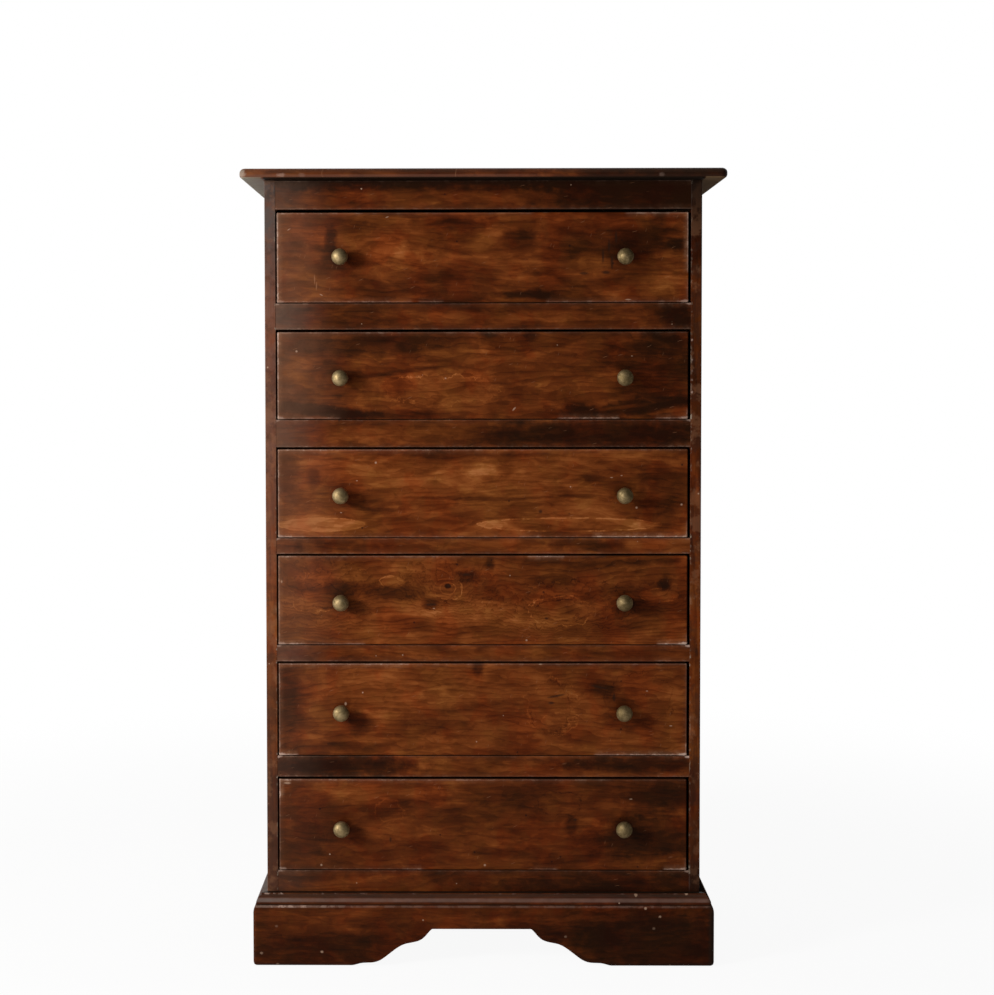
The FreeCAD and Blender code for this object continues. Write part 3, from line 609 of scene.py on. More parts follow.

# Marks picked in the photo: column and row of the middle, half the width and height, in pixels.
# A patch goes on with strength, slope, softness and unevenness, a rim with strength and unevenness, a split
# or chip with slope. Shades (patches too), scores, knots and worn edges are in metres from the front's middle.
# haze: strength of the painted sheen of the light at the left end of a drawer front
DRAWER_1 = {
    "tone": 0.02, "rings": 0.09, "contrast": 1.42, "haze": 0.34, "corners": (0.22, 0.42),
    "patches": {
        "left_smudge": (295, 249, 17, 6, -0.26), "knob_streak": (332, 240, 5, 11, -0.42),
        "under_streak": (329, 256, 8, 6.7, -0.22), "left_glow": (413, 248, 40, 18, 0.1),
        "glow_core": (424, 251, 12, 3, 0.12), "top_smudge": (463, 226, 22, 6.7, -0.24),
        "dark_spot": (520, 238, 17, 6, -0.28), "foot_smudge": (528, 296, 27, 4, -0.34),
        "right_spot": (655, 226, 9, 6, -0.18), "end_spot": (676, 246, 9, 5, -0.24),
        "low_glow": (523, 282, 26, 5, 0.14), "right_glow": (594, 266, 16, 10, 0.16),
        "end_glow": (666, 283, 22, 12, 0.14), "wide_glow": (470, 262, 70, 12, 0.07),
    },
    "shades": [(0.23, 0.04, 0.1, 0.035, -0.14), (-0.29, 0.0, 0.05, 0.08, 0.01)],
    "splits": {
        "by_knob": (609, 248, 1.2, 6), "under_knob": (603, 258, 1.2, 6), "lower": (612, 264, 1.2, 6.7),
        "higher": (616, 240, 1.2, 6.7), "dash": (606, 274, 4, 1.8), "left_dash": (584, 275, 4, 1.2),
    },
    "chips": {
        "left": (290, 231, 1.8, 0.6, 0.6), "top": (546, 213.8, 5, 1.2), "foot": (628, 301, 3, 0.6),
        "high": (388, 219, 1.8, 0.6, 0.3), "left_foot": (322, 296, 1.8, 0.6, -0.4),
    },
    "scores": [(-0.2765, -0.036, 0.001, 0.007, -0.9), (-0.2735, -0.046, 0.001, 0.006, 0.7)],
    "edges": {
        "top": [(-0.34, -0.315, 0.34), (-0.315, -0.2, 0.15), (-0.2, 0.08, 0.07), (0.24, 0.338, 0.26)],
        "bottom": [(-0.34, -0.12, 0.17), (-0.1, -0.07, 0.16), (0.11, 0.338, 0.13)],
        "left": [(-0.08, 0.08, 0.56)], "right": [(-0.02, 0.08, 0.5), (-0.08, -0.04, 0.16)],
    },
}
DRAWER_2 = {
    "tone": -0.06, "rings": 0.13, "contrast": 1.2, "haze": 0.42, "corners": (0.32, 0.42),
    "patches": {
        "top_cloud": (390, 345, 78, 11, -0.22, 0.08), "streak": (405, 372, 42, 2.4, -0.24, 0.14),
        "long_glow": (433, 388, 62, 16, 0.2), "left_foot": (325, 411, 52, 6, -0.42, -0.1, 0.35, 1.0),
        "foot_smudge": (400, 415, 60, 3.6, -0.26), "top_glint": (477, 352, 16, 1.8, 0.24),
        "top_spot": (530, 337, 8, 5, -0.34), "small_spot": (489, 336, 8, 3, -0.2),
        "middle_foot": (580, 412, 18, 6, -0.44), "right_foot": (645, 406, 45, 8, -0.34, 0.14, 0.35, 1.0),
        "foot_glint": (623, 408, 25, 1.8, 0.24, 0.13), "end_cloud": (664, 345, 24, 14, -0.24),
        "right_glow": (560, 385, 36, 14, 0.07), "left_glow": (300, 368, 18, 12, 0.16),
    },
    "shades": [(0.29, 0.0, 0.06, 0.08, -0.08)],
    "rims": {"long_glow": (440, 390, 60, 14, 0.1, 1.2)},
    "chips": {
        "foot": (514.5, 409.5, 1.8, 1.2, 0.8), "middle": (446, 379, 1.2, 1.2),
        "right": (632, 357, 1.2, 0.6), "left": (297, 352, 1.2, 1.2), "low": (566, 424, 1.2, 1.2),
    },
    "edges": {
        "top": [(-0.34, -0.318, 0.42), (-0.318, -0.15, 0.16), (-0.15, 0.06, 0.1), (0.06, 0.338, 0.04)],
        "bottom": [(-0.34, -0.24, 0.17), (0.13, 0.22, 0.26), (0.29, 0.338, 0.22)],
        "left": [(-0.08, 0.08, 0.38), (0.04, 0.08, 0.75)], "right": [(-0.08, -0.06, 0.12)],
    },
}
DRAWER_3 = {
    "tone": 0.13, "rings": 0.1, "contrast": 1.2, "haze": 0.28, "corners": (0.35, 0.1),
    "patches": {
        "left_tongue": (322, 525, 43, 6.7, 0.2, 0.0, 0.12, 0.3),
        "long_tongue": (569, 525, 90, 6.7, 0.1, 0.0, 0.12, 0.3), "tip": (493, 525, 14, 4, 0.14, 0.0, 0.2),
        "tongue_end": (646, 526, 13, 4, 0.12, 0.0, 0.2), "top_glow": (484, 471, 17, 6, 0.2),
        "wide_glow": (470, 488, 60, 20, 0.1), "left_spot": (314, 478, 6, 9, -0.24),
        "top_cloud": (463, 455, 66, 4, -0.22), "end_cloud": (666, 490, 24, 36, -0.22),
        "right_spot": (593, 478, 12, 4, -0.2), "middle_streak": (470, 499, 55, 1.8, -0.2, -0.02),
        "left_streak": (385, 510, 25, 1.8, -0.22), "right_streak": (560, 497, 40, 1.8, -0.14, 0.02),
        "left_glow": (360, 470, 40, 8, 0.06),
    },
    "shades": [(-0.325, 0.023, 0.018, 0.052, -0.28, 0.0, 0.9)],
    "rims": {"left_tongue": (322, 525, 43, 6.7, 0.13, 0.3), "long_tongue": (569, 525, 90, 6.7, 0.14, 0.3)},
    "splits": {"right": (541, 512, 1.8, 1.8)},
    "chips": {
        "by_knob": (612, 478, 1.8, 0.6), "at_knob": (622, 476, 1.2, 0.6), "end": (682, 505, 1.2, 1.2),
        "high": (376, 463, 1.2, 1.2), "left": (357, 481, 1.2, 0.6), "low": (341, 513, 1.2, 0.6),
        "right": (637, 508, 1.2, 1.2),
    },
    "edges": {
        "top": [(-0.34, -0.26, 0.42), (-0.26, -0.09, 0.22), (-0.09, 0.02, 0.14), (0.02, 0.338, 0.09)],
        "bottom": [(-0.34, -0.3, 0.42), (-0.3, 0.18, 0.12), (0.07, 0.095, 0.26), (0.185, 0.338, 0.6)],
        "left": [(-0.08, 0.08, 0.26)], "right": [(-0.08, -0.05, 0.16)],
    },
}
DRAWER_4 = {
    "tone": 0.1, "rings": 0.17, "contrast": 1.0, "haze": 0.26, "corners": (0.3, 0.85),
    "patches": {
        "left_spot": (341, 588, 13, 10, -0.26), "left_cloud": (395, 594, 28, 6.7, -0.3),
        "low_spot": (430, 604, 6.7, 5, -0.28), "pale_eye": (392, 582, 11, 5, 0.22, 0.0, 0.15, 0.5),
        "knot": (448, 586.5, 3, 2.5, -0.5, 0.0, 0.25), "beside_knot": (468, 577, 11, 6, -0.32),
        "top_spot": (490, 565, 4, 6.7, -0.38), "long_glow": (434, 614, 63, 11, 0.16, -0.04),
        "foot_spot": (410, 622, 18, 6, -0.16), "right_glow": (530, 612, 40, 14, 0.1),
        "end_eye": (660, 596, 18, 6, 0.22, 0.0, 0.15, 0.5), "end_spot": (666, 583, 6, 6.7, -0.42),
        "end_glow": (671, 621, 12, 9, 0.16), "top_cloud": (590, 562, 70, 5, -0.16),
        "glint": (470, 600, 30, 1.8, 0.2, -0.12), "left_end": (288, 600, 10, 30, -0.08, 0.0, 0.9),
    },
    "shades": [(0.29, 0.0, 0.07, 0.08, -0.18, 0.0, 0.9)],
    "rims": {
        "pale_eye": (392, 582, 12, 6, 0.12, 0.7), "knot": (448, 589, 8, 6, 0.18, 0.5),
        "knot_ring": (448, 590, 14.5, 10.3, 0.13, 0.7), "outer_ring": (430, 590, 24, 20, -0.1, 0.9),
        "right_ring": (562, 611, 32, 15, 0.13, 0.8), "right_inner": (562, 611, 27, 11, -0.1, 0.8),
        "end_eye": (660, 596, 19, 6.7, 0.12, 0.7), "left_ring": (318, 592, 30, 20, 0.07, 1.2),
        "left_inner": (322, 596, 20, 12, -0.1, 0.9), "wide_ring": (575, 606, 60, 24, -0.08, 0.9),
    },
    "splits": {
        "in_knot": (449, 586, 1.8, 1.2), "low_dash": (431, 605, 5, 1.2), "high_dash": (466, 575, 5, 1.2),
        "right": (547, 619, 1.8, 1.2),
    },
    "chips": {
        "low": (434, 609, 1.2, 0.6), "foot": (527, 641, 1.2, 1.2), "left": (281, 582, 1.2, 1.8),
    },
    "knots": [(-0.058, 0.02, 0.05, 0.03, 4.0), (0.131, -0.017, 0.075, 0.03, 3.0),
              (-0.27, 0.012, 0.06, 0.045, 3.0), (0.292, 0.005, 0.04, 0.018, 2.0)],
    "edges": {
        "top": [(-0.34, -0.31, 0.34), (-0.31, -0.04, 0.14), (0.08, 0.13, 0.44), (-0.04, 0.2, 0.05)],
        "bottom": [(-0.34, -0.3, 0.44), (-0.3, -0.2, 0.14), (0.294, 0.338, 0.62)],
        "left": [(-0.08, 0.08, 0.24)], "right": [(-0.08, -0.06, 0.2)],
    },
}
DRAWER_5 = {
    "tone": 0.09, "rings": 0.13, "contrast": 0.9, "haze": 0.12, "corners": (0.7, 1.0),
    "patches": {
        "left_glow": (380, 690, 75, 22, 0.12), "left_spot": (360, 725, 13, 10, -0.26),
        "low_spot": (422, 725, 26, 6, -0.18), "top_mark": (479, 668, 6, 6.7, -0.45),
        "right_spot": (604, 690, 14, 6.7, -0.28), "foot_smudge": (330, 748, 50, 4, -0.2),
        "foot_glow": (480, 745, 90, 6, 0.08), "end_glow": (676, 712, 8, 28, 0.14),
        "top_smudge": (430, 682, 26, 5, -0.12), "middle_cloud": (500, 712, 30, 10, -0.1),
        "glint": (375, 716, 20, 6, 0.16), "right_glow": (640, 674, 34, 8, 0.08),
    },
    "shades": [(-0.322, -0.002, 0.02, 0.066, -0.36, 0.0, 0.9), (0.28, 0.0, 0.08, 0.08, -0.09),
               (-0.3, 0.0, 0.05, 0.07, 0.06)],
    "rims": {
        "ring": (552, 708, 24, 28, 0.07, 1.2), "inner": (552, 708, 21, 25, -0.08, 1.2),
        "right_ring": (640, 700, 34, 26, -0.08, 0.9), "low_ring": (560, 724, 16, 10, 0.07, 1.2),
    },
    "splits": {
        "dash": (557, 697, 8, 1.2, 0.2), "short_dash": (552, 704, 3, 1.2),
        "by_knob": (600, 688, 8, 1.2, -0.2), "at_knob": (615, 698, 1.2, 4),
    },
    "chips": {
        "left": (345, 705, 1.2, 1.8), "top": (541, 665, 1.8, 0.6), "right": (648, 692, 1.2, 0.6),
        "end": (672, 727, 1.8, 0.6),
    },
    "edges": {
        "top": [(-0.34, -0.185, 0.34), (-0.185, -0.125, 0.46), (-0.125, 0.338, 0.13)],
        "bottom": [(-0.34, -0.312, 0.8), (0.19, 0.338, 0.42), (0.285, 0.338, 0.7)],
        "left": [(-0.08, 0.08, 0.21)], "right": [(-0.08, 0.08, 0.1), (-0.08, -0.06, 0.34)],
    },
}
DRAWER_6 = {
    "tone": -0.04, "rings": 0.09, "contrast": 1.0, "haze": 0.08, "corners": (0.3, 0.35),
    "patches": {
        "top_glow": (362, 794, 80, 12, 0.12), "wide_glow": (440, 830, 66, 16, 0.08),
        "right_glow": (558, 807, 22, 9, 0.2), "right_spot": (572, 828, 6, 9, -0.28),
        "glint": (600, 826, 18, 6, 0.12), "end_cloud": (640, 842, 46, 18, -0.28),
        "top_end": (665, 798, 36, 16, -0.26), "left_cloud": (300, 842, 28, 16, -0.14),
        "top_edge": (430, 783, 30, 3, 0.1), "foot_smudge": (520, 856, 40, 5, -0.14),
        "middle_smudge": (500, 800, 30, 8, -0.06),
    },
    "rims": {"right_ring": (560, 806, 24, 12, -0.1, 0.9), "left_ring": (388, 812, 14, 12, 0.07, 1.3)},
    "splits": {"left": (390, 842, 1.2, 3), "right": (576, 822, 1.8, 1.2)},
    "chips": {
        "left": (286, 785, 4, 1.2), "left_foot": (320, 868, 1.2, 1.2), "foot": (485, 868, 1.2, 1.2),
        "right": (632, 801, 1.8, 0.6),
    },
    "edges": {
        "top": [(-0.34, -0.322, 0.6), (-0.322, 0.0, 0.2), (0.0, 0.21, 0.13), (0.21, 0.338, 0.04)],
        "bottom": [(-0.34, -0.1, 0.06), (-0.13, -0.105, 0.2), (0.09, 0.12, 0.16), (0.306, 0.338, 0.65)],
        "left": [(-0.08, 0.08, 0.12), (0.05, 0.08, 0.7)], "right": [(-0.08, -0.06, 0.12)],
    },
}
DRAWERS = {1: DRAWER_1, 2: DRAWER_2, 3: DRAWER_3, 4: DRAWER_4, 5: DRAWER_5, 6: DRAWER_6}
FRONT_SEED = 40.0
KNOB_HALO = (0.03, 0.026)
CHIP_SCALE = 0.8
CORNER_CHIP = (0.008, 0.0032)  # half length and height of the worn spot at a bottom corner
EDGES = {"top": (2, True), "bottom": (2, False), "left": (0, False), "right": (0, True)}  # axis, high side
STAIN_DEPTH = 0.001  # how far the stain stops from the inner face of a drawer front


def picked(board, marks):
    """Marks picked in the photo, as places in metres from the middle of the board."""
    return [((column - MIDDLE_COLUMN) * PIXEL_WIDTH - board.middle.x,
             (FLOOR_ROW - row) * PIXEL_HEIGHT - board.middle.z,
             half_width * PIXEL_WIDTH, half_height * PIXEL_WIDTH, *rest)
            for column, row, half_width, half_height, *rest in marks.values()]


def drawer_front(number, spec):
    board = Board(f"drawer_{number}_front", FRONT_SEED + number, tone=spec["tone"], rings=spec["rings"],
                  contrast=spec["contrast"], knots=spec.get("knots", ()))
    board.stain_patches(picked(board, spec["patches"]) + spec.get("shades", []))
    board.stain_rims(picked(board, spec.get("rims", {})))
    low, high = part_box(f"drawer_{number}_knobs")
    radius = (high.z - low.z) / 2
    for x in (low.x + radius, high.x - radius):
        spot = (x - board.middle.x, (low.z + high.z) / 2 - board.middle.z)
        board.stain_patches([(*spot, *KNOB_HALO, -0.08), (*spot, radius, radius, -0.2)])
    board.finish_stain()
    # painted sheen of the light from the left, with some dust
    board.haze(-1, 0.13, spec["haze"])
    board.marks(picked(board, spec.get("splits", {})), 0.75, SCORE)
    board.marks(spec.get("scores", ()), 0.55, SCUFF)
    board.marks([(x, z, half_x * CHIP_SCALE, half_z * CHIP_SCALE, *slope)
                 for x, z, half_x, half_z, *slope in picked(board, spec["chips"])], 0.6, PALE_SPECK)
    board.scratches(1.25, 55.0, 0.03, SCUFF)
    board.scratches(0.35, 40.0, 0.025, SCUFF)
    board.scratches(-0.5, 60.0, 0.03, SCORE)
    board.specks(90.0, 0.012, 0.0016, PALE_SPECK, SUNK)
    board.specks(70.0, 0.03, 0.0022, DARK_SPECK, DEEP)
    for edge, spans in spec["edges"].items():
        board.worn_line(*EDGES[edge], spans)
    # dirt and painted shade of the gaps round the drawer front
    board.shade_and_grime_edges((0, 2))
    inside = board.step(board.spots[1], board.high.y - 2 * STAIN_DEPTH, board.high.y - STAIN_DEPTH)
    bare = board.add(board.times(board.grain["Rings"], 0.4), board.times(board.grain["Blotch"], 0.6))
    board.cover(inside, board.ramp(bare, [(0.15, PINE_DARK), (0.85, PINE_LIGHT)]))
    for x, strength in zip((board.low.x + 0.003, board.high.x - 0.003), spec["corners"]):
        board.dab(x, board.low.z + 0.001, *CORNER_CHIP, strength, WORN)
    board.done()


# Tone, painted sheen at the left end and patches of each rail.
RAILS = {
    "top_rail": (-0.09, 0.26, [
        # the second patch is painted shade at the right end, under the top board
        (-0.1, -0.004, 0.16, 0.01, 0.14), (0.26, 0.0, 0.16, 0.04, -0.36),
        (-0.3, 0.012, 0.01, 0.006, -0.24)]),
    "divider_rail_1": (-0.1, 0.42, [
        (0.02, -0.002, 0.2, 0.01, 0.18), (0.325, 0.0, 0.03, 0.02, -0.42),
        (-0.32, 0.0, 0.03, 0.02, -0.14)]),
    "divider_rail_2": (-0.03, 0.32, [
        (0.19, 0.0, 0.17, 0.02, -0.34), (-0.16, 0.0, 0.14, 0.012, 0.12),
        (0.32, 0.0, 0.04, 0.03, -0.14)]),
    "divider_rail_3": (0.08, 0.14, [
        (0.17, 0.002, 0.05, 0.01, -0.32), (-0.24, 0.0, 0.06, 0.01, -0.24),
        (-0.32, 0.0, 0.03, 0.02, -0.12)]),
    "divider_rail_4": (0.06, 0.26, [
        (-0.05, 0.0, 0.18, 0.01, 0.1), (0.26, 0.0, 0.08, 0.012, -0.14),
        (-0.32, 0.0, 0.03, 0.02, -0.08)]),
    "divider_rail_5": (0.08, 0.12, [
        (-0.26, 0.0, 0.13, 0.02, -0.52), (0.26, 0.004, 0.12, 0.012, -0.38)]),
    "bottom_rail": (-0.17, 0.12, [
        (-0.15, 0.012, 0.13, 0.02, 0.18), (0.22, 0.0, 0.15, 0.04, -0.26)]),
}
# painted sheen of the light from the left on the rails
RAIL_SHEEN = (0.175, 0.112, 0.082)
OVERHANG_SHADOW = 0.022  # how far the painted shadow of the top's overhang reaches down from the top board
HALF_OPENING = 0.342
CORNER_WEAR = 0.05  # length of the worn ends of a rail's edges
RAIL_CHIP = (0.006, 0.0022)  # half length and height of the worn spot under a drawer's corner
RAIL_CHIP_SHARE = 0.9  # of the wear of that corner


def dress_rails():
    for index, (node, (tone, sheen_amount, patches)) in enumerate(RAILS.items()):
        board = Board(node, 4.0 + index, tone=tone)
        board.stain_patches(patches)
        if node == "top_rail":
            # painted shadow of the top's overhang
            board.darken_edge(2, True, OVERHANG_SHADOW, 0.5)
        board.finish_stain()
        board.haze(-1, 0.11, sheen_amount, RAIL_SHEEN)
        board.scratches(0.2, 45.0, 0.04, SCUFF)
        board.specks(90.0, 0.02, 0.0016, PALE_SPECK, SUNK)
        board.specks(80.0, 0.04, 0.002, DARK_SPECK, DEEP)
        ends = [(-HALF_OPENING, CORNER_WEAR - HALF_OPENING, 0.16),
                (HALF_OPENING - CORNER_WEAR, HALF_OPENING, 0.12)]
        board.worn_line(2, False, [(-HALF_OPENING, HALF_OPENING, 0.07), *ends], width=0.003)
        board.worn_line(2, True, [(-HALF_OPENING, HALF_OPENING, 0.06), *ends], width=0.0026)
        # dirt and painted shade of the gaps along the rail's edges
        board.shade_and_grime_edges((2,), 0.6)
        if index:
            for x, strength in zip((-HALF_OPENING, HALF_OPENING), DRAWERS[index]["corners"]):
                board.dab(x, board.high.z - 0.001, *RAIL_CHIP, strength * RAIL_CHIP_SHARE, WORN)
        board.done()


SIDE_JOINT = 0.3428  # from the middle to the joint between the rails and a side
CORNER_REACH = 0.012  # filler shows this far from a rail's corners
JOINT_WIDTH = (0.002, 0.0008)  # half the width of its filler, and of where that is full


def joint_filler(board, side, amount):
    """Old filler in the joint of a side and the rails, most of all at the rails' corners."""
    joint = board.step(board.math("ABSOLUTE", board.minus(board.spots[0], side * SIDE_JOINT)), *JOINT_WIDTH)
    corners = []
    for node in RAILS:
        for level in (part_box(node)[0].z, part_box(node)[1].z):
            away = board.math("ABSOLUTE", board.minus(board.spots[2], level))
            corners.append(board.step(away, CORNER_REACH, CORNER_REACH / 3))
    nearby = board.add(0.3, board.times(board.highest(*corners), 0.7))
    shown = board.times(joint, board.near_front(), board.broken(amount, 9.0, 90.0), nearby)
    board.cover(shown, FILLER, -0.4)


DULL_ROLL = (0.05, 0.03, 0.02)
# dust and a painted highlight on the lower rounding of the top's front edge
LIP_DUST_AND_HIGHLIGHT = (0.17, 0.085, 0.06)
# painted light on the top's underside beyond the left side, and painted shade beyond the right
LIT_UNDERSIDE = (0.27, 0.235, 0.175)
SHADED_UNDERSIDE = (0.165, 0.1, 0.051)
# worn corner at the top's left end, partly a painted highlight
END_WEAR_AND_HIGHLIGHT = (0.32, 0.29, 0.23)
TOP_LIP = (0.0005, 0.002, 0.005, 0.0075)  # heights where its dust begins, is full, fades and ends
TOP_ROLL = (0.011, 0.004)  # depths under the top face between which the dull roll comes in
CASE_LINE = 0.003  # width over which the underside changes colour at the case
LIT_FULL = -0.39  # x at which the painted light under the left end is fullest
TOP_CHIPS = [(-0.329, 0.006, 0.26), (-0.295, 0.005, 0.1), (0.29, 0.004, 0.12)]  # x, half length, strength


def dress_top():
    top = Board("top_board", 1.0, "xyz", tone=-0.05)
    # the first patch darkens the right end: painted shade
    top.stain_patches([(0.32, 0.0, 0.2, 0.4, -0.44), (-0.325, -0.2, 0.04, 0.06, 0.1),
                       (-0.25, -0.2, 0.05, 0.06, -0.08), (-0.08, -0.2, 0.06, 0.06, -0.06),
                       (0.11, -0.2, 0.06, 0.06, 0.26)])
    top.finish_stain()
    # painted sheen of the light from the left on the top board
    top.haze(-1, 0.12, 0.22)
    top.specks(80.0, 0.03, 0.0022, PALE_SPECK, SUNK)
    top.scratches(0.9, 30.0, 0.05, SCUFF)
    run = top.spots[0]
    rise = top.minus(top.spots[2], top.low.z)
    roll = top.step(top.minus(top.high.z, top.spots[2]), *TOP_ROLL)
    top.cover(top.times(roll, 0.35), DULL_ROLL)
    front = top.near_front(FRONT_REACH)
    # dust and a painted highlight on the top's lower lip, stronger towards the lit left
    top.cover(top.times(top.band(rise, *TOP_LIP), front, top.step(run, 0.16, 0.02, 0.06, 0.3)), LIP_DUST_AND_HIGHLIGHT)
    # painted shade over the front of the right end
    top.cover(top.times(front, top.step(run, 0.12, 0.32, 0.0, 0.3)), PAINTED_SHADE_AND_GRIME)
    # worn left corner of the top, partly a painted highlight
    top.dab(top.low.x + 0.004, top.middle.z, 0.006, 0.006, 0.42, END_WEAR_AND_HIGHLIGHT)
    for x, half_x, strength in TOP_CHIPS:
        top.dab(x, top.middle.z - 0.003, half_x, 0.003, strength, WORN)
    underside = top.step(rise, 0.003, 0.001)
    case = -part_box("case_side_left")[0].x
    left_end = top.times(top.step(run, -case, -case - CASE_LINE), top.step(run, -case, LIT_FULL, 0.5, 0.9))
    # painted light on the underside of the left end
    top.cover(top.times(underside, left_end), LIT_UNDERSIDE)
    # painted shade on the underside of the right end
    top.cover(top.times(underside, top.step(run, case, case + CASE_LINE), 0.8), SHADED_UNDERSIDE)
    over_case = top.step(top.math("ABSOLUTE", run), case, case - CASE_LINE)
    # painted shade on the underside over the case
    top.cover(top.times(underside, over_case), PAINTED_SHADE_AND_GRIME)
    top.rough = top.add(top.rough, top.times(underside, top.step(run, -0.2, 0.2, 0.1, 0.55)))
    top.done()


# Side, node, tone and how much filler shows in its joint.
CASE_SIDES = [(-1, "case_side_left", -0.02, 0.35), (1, "case_side_right", -0.06, 0.45)]
# On the left side's front edge: from and to which height each colour comes in, and how strongly. The last band
# is a painted cool sheen of the light, with some dust.
STILE_BANDS = [
    (0.42, 0.22, 0.55, (0.06, 0.024, 0.015)),
    (0.55, 0.95, 0.6, (0.14, 0.066, 0.046)),
    (1.08, 1.24, 0.8, COLD_SHEEN),
]
# Darker and lighter places on the sides, most of them close to the front edge. The first on the right is
# painted shade at the top, under the top board.
STILE_PATCHES = {
    -1: [(-0.1, 0.0, 0.12, 1.0, 0.1), (-0.47, 0.0, 0.12, 1.0, -0.16)],
    1: [(0.61, 0.0, 0.13, 1.0, -0.34), (0.32, -0.2, 0.12, 0.05, -0.08), (0.107, -0.2, 0.09, 0.05, -0.16),
        (-0.1, -0.2, 0.08, 0.05, 0.14), (-0.28, -0.2, 0.09, 0.05, 0.22), (-0.57, -0.2, 0.05, 0.05, -0.24)],
}
STILE_DARK = (0.03, 0.014, 0.009)
STILE_CHIPS = [(1.038, 0.5), (1.005, 0.28), (0.987, 0.18), (0.972, 0.28), (0.952, 0.6)]  # height, strength
STILE_CHIP = (0.0015, 0.0018)
STILE_PAINTED_SHADE = [(1.2, 1.28, 0.8), (0.26, 0.18, 0.4)]  # painted shade on the right: from height, full height, strength
FOOT_FILLER = (0.138, 0.0012, 0.015, 0.12)  # in the right joint: height, half sizes and strength


def dress_case():
    dress_top()
    for side, node, tone, filled in CASE_SIDES:
        board = Board(node, 22.0 + side, "zyx", tone=tone, rings=0.14, contrast=1.3, length=2.2)
        board.stain_patches(STILE_PATCHES[side])
        # painted shadow of the top's overhang on the side's front edge
        board.darken_edge(2, True, OVERHANG_SHADOW, 0.35)
        board.finish_stain()
        if side < 0:
            # painted sheen of the light from the left on the left side
            board.haze(-1, 0.03, 0.22)
            for start, end, strength, colour in STILE_BANDS:
                uneven = board.add(-0.1, board.times(board.wobble, 2.2))
                band = board.times(board.step(board.spots[2], start, end), uneven, strength)
                board.cover(board.times(band, board.near_front()), colour)
        board.cover(board.times(board.near_front(), board.broken(0.55, 11.0, 32.0), 0.36), STILE_DARK)
        board.cover(board.times(board.near_front(), board.broken(0.5, 12.0, 26.0), 0.24), SCUFF)
        board.specks(90.0, 0.03, 0.0018, PALE_SPECK, SUNK)
        joint_filler(board, side, filled)
        if side > 0:
            # painted shade at the top and the foot of the right side's front edge
            ends = board.add(*(board.step(board.spots[2], start, full, 0.0, strength)
                               for start, full, strength in STILE_PAINTED_SHADE))
            board.cover(board.times(board.near_front(), ends), PAINTED_SHADE_AND_GRIME)
            board.dab(SIDE_JOINT, *FOOT_FILLER, PALE_FILLER_AND_SHEEN)
            for z, strength in STILE_CHIPS:
                board.dab(SIDE_JOINT + 0.0012, z, *STILE_CHIP, strength, WORN)
        board.done()
    dress_rails()


LEDGE_DUST = (0.125, 0.088, 0.068)
# painted grey sheen at the left end of the plinth's moulding, with some dust
GREY_SHEEN = (0.115, 0.088, 0.076)
LIP_SHADE = (0.045, 0.03, 0.022)
MATT_IOR = 1.0  # keeps a ledge that is seen edge-on from mirroring the pale room
# Depths under the plinth's top at which a line along its moulding begins, is full, fades and ends.
LIP = (0.0008, 0.003, 0.0045, 0.008)
SWELL = (0.006, 0.0095, 0.012, 0.015)
GROOVE = (0.016, 0.0178, 0.0185, 0.0196)
ARRIS = (0.0185, 0.0192, 0.021, 0.023)
LEDGE = (0.0034, 0.0022)
TOP_FACE = (0.0008, 0.0002)
# Chips on the front of the plinth: x, z and strength.
PLINTH_CHIPS = [
    (-0.368, 0.023, 0.35), (-0.268, 0.025, 0.55), (-0.3415, 0.004, 0.4), (-0.343, 0.068, 0.15),
    (0.268, 0.098, 0.7), (0.292, 0.0845, 0.5), (0.282, 0.065, 0.2), (0.136, 0.051, 0.25),
    (0.337, 0.1195, 0.8), (0.253, 0.1175, 0.6), (0.309, 0.002, 0.35),
]
PLINTH_CHIP = (0.0022, 0.0018)


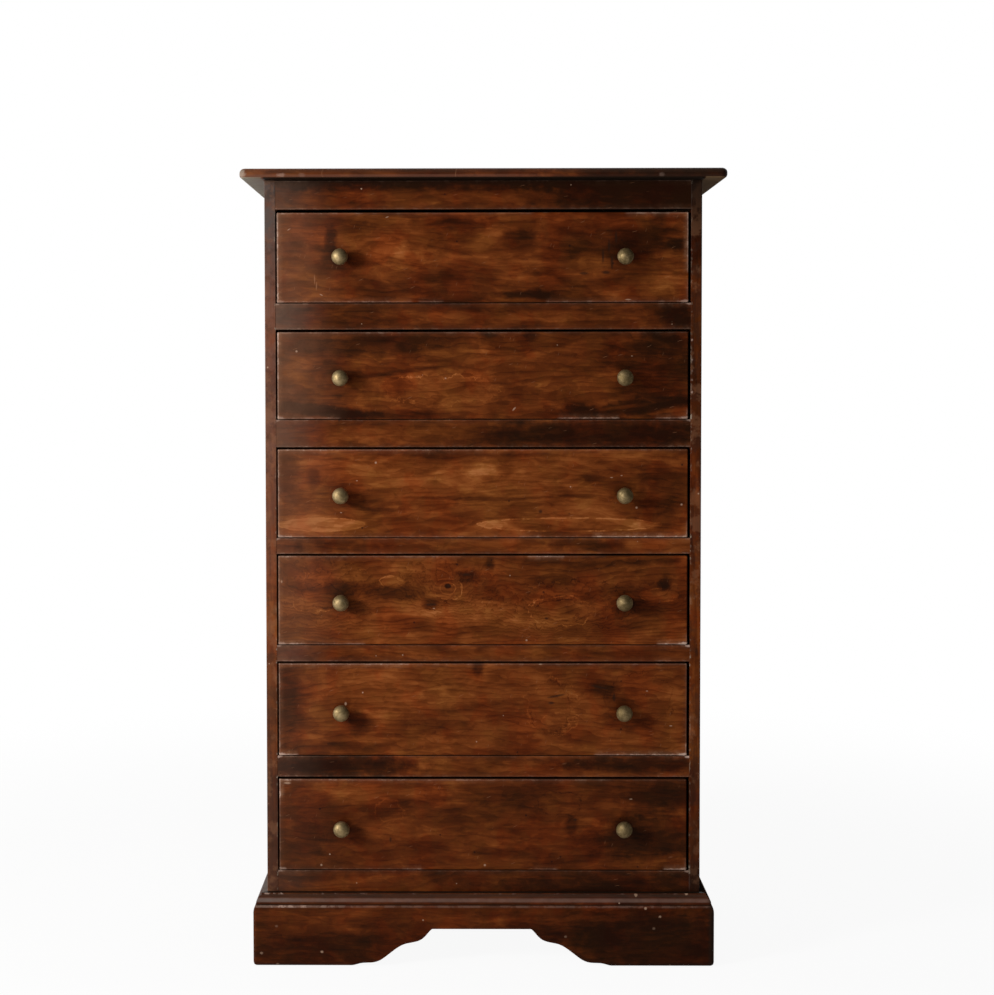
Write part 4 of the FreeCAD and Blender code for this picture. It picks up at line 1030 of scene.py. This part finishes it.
def dress_plinth():
    for index, node in enumerate(("plinth_front", "plinth_left", "plinth_right")):
        board = Board(node, 12.0 + index, "yzx" if index else "xzy", tone=-0.17)
        if node == "plinth_front":
            board.stain_patches([(-0.16, 0.02, 0.2, 0.022, 0.14), (0.28, -0.02, 0.12, 0.05, -0.26),
                                 (-0.3, -0.035, 0.1, 0.02, -0.2)])
        board.finish_stain()
        board.specks(80.0, 0.03, 0.002, PALE_SPECK, SUNK)
        drop = board.minus(board.high.z, board.spots[2])
        board.cover(board.times(board.band(drop, *LIP), 0.5), LIP_SHADE)
        # painted sheen along the swell of the moulding, greyer at the lit left end
        swell = board.times(board.band(drop, *SWELL), board.add(0.2, board.times(board.wobble, 0.5)))
        board.cover(swell, PALE_FILLER_AND_SHEEN)
        board.cover(board.times(swell, board.step(board.spots[0], -0.28, -0.36), 1.6), GREY_SHEEN)
        # a dark line in the groove of the moulding
        board.cover(board.times(board.band(drop, *GROOVE), 0.7), PAINTED_SHADE_AND_GRIME)
        # worn arris and ledge, with a painted highlight where they are lit at the left end
        left_end = board.step(board.spots[0], -0.2, -0.34, 0.0, 0.32)
        wear = board.times(board.add(0.08, left_end), board.add(0.6, board.broken(0.62, 5.0)))
        board.cover(board.times(board.band(drop, *ARRIS), wear), WORN, SUNK)
        ledge = board.times(board.step(drop, *LEDGE), board.add(0.1, board.times(left_end, 1.5)))
        board.cover(board.times(ledge, board.broken(0.4, 6.0)), WORN)
        if node == "plinth_front":
            # painted shade on the rounded right end of the plinth's front
            end_shade = board.step(board.spots[0], board.high.x - 0.011, board.high.x - 0.003)
            board.cover(board.times(end_shade, 0.75), PAINTED_SHADE_AND_GRIME)
            for x, z, strength in PLINTH_CHIPS:
                board.dab(x, z, *PLINTH_CHIP, strength, PALE_SPECK)
        # dust on the left plinth's top face; painted shade on the top faces of the front and right plinths
        upward = board.step(drop, *TOP_FACE)
        board.cover(upward, LEDGE_DUST if node == "plinth_left" else PAINTED_SHADE_AND_GRIME)
        if node == "plinth_right":
            board.link("IOR", MATT_IOR)
        board.done()


def dress_inside():
    bare = plain_wood("bare_wood", 21.0, "yzx", PINE_LIGHT, PINE_DARK)
    back = plain_wood("back_wood", 22.0, "zxy", BACK_LIGHT, BACK_DARK)
    across = plain_wood("drawer_back", 32.0, "xzy", PINE_LIGHT, PINE_DARK)
    bottom = plain_wood("drawer_bottom", 33.0, "xyz", PLY_LIGHT, PLY_DARK)
    metal, screw = brass(), steel()
    for name in ("runners_and_kickers", "glue_blocks"):
        dress(name, bare)
    for name in ("back_boards", "plinth_back"):
        dress(name, back)
    dress("case_screws", screw)
    for number in DRAWERS:
        for name, material in (("side_left", bare), ("side_right", bare), ("back", across),
                               ("bottom", bottom), ("knobs", metal), ("knob_screws", screw)):
            dress(f"drawer_{number}_{name}", material)


case_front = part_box("case_side_left")[0].y
bpy.context.scene.view_settings.view_transform = "Standard"
make_camera(case_front)
make_floor()
make_world()
make_lamps(case_front)
dress_case()
dress_plinth()
dress_inside()
for number, spec in DRAWERS.items():
    drawer_front(number, spec)
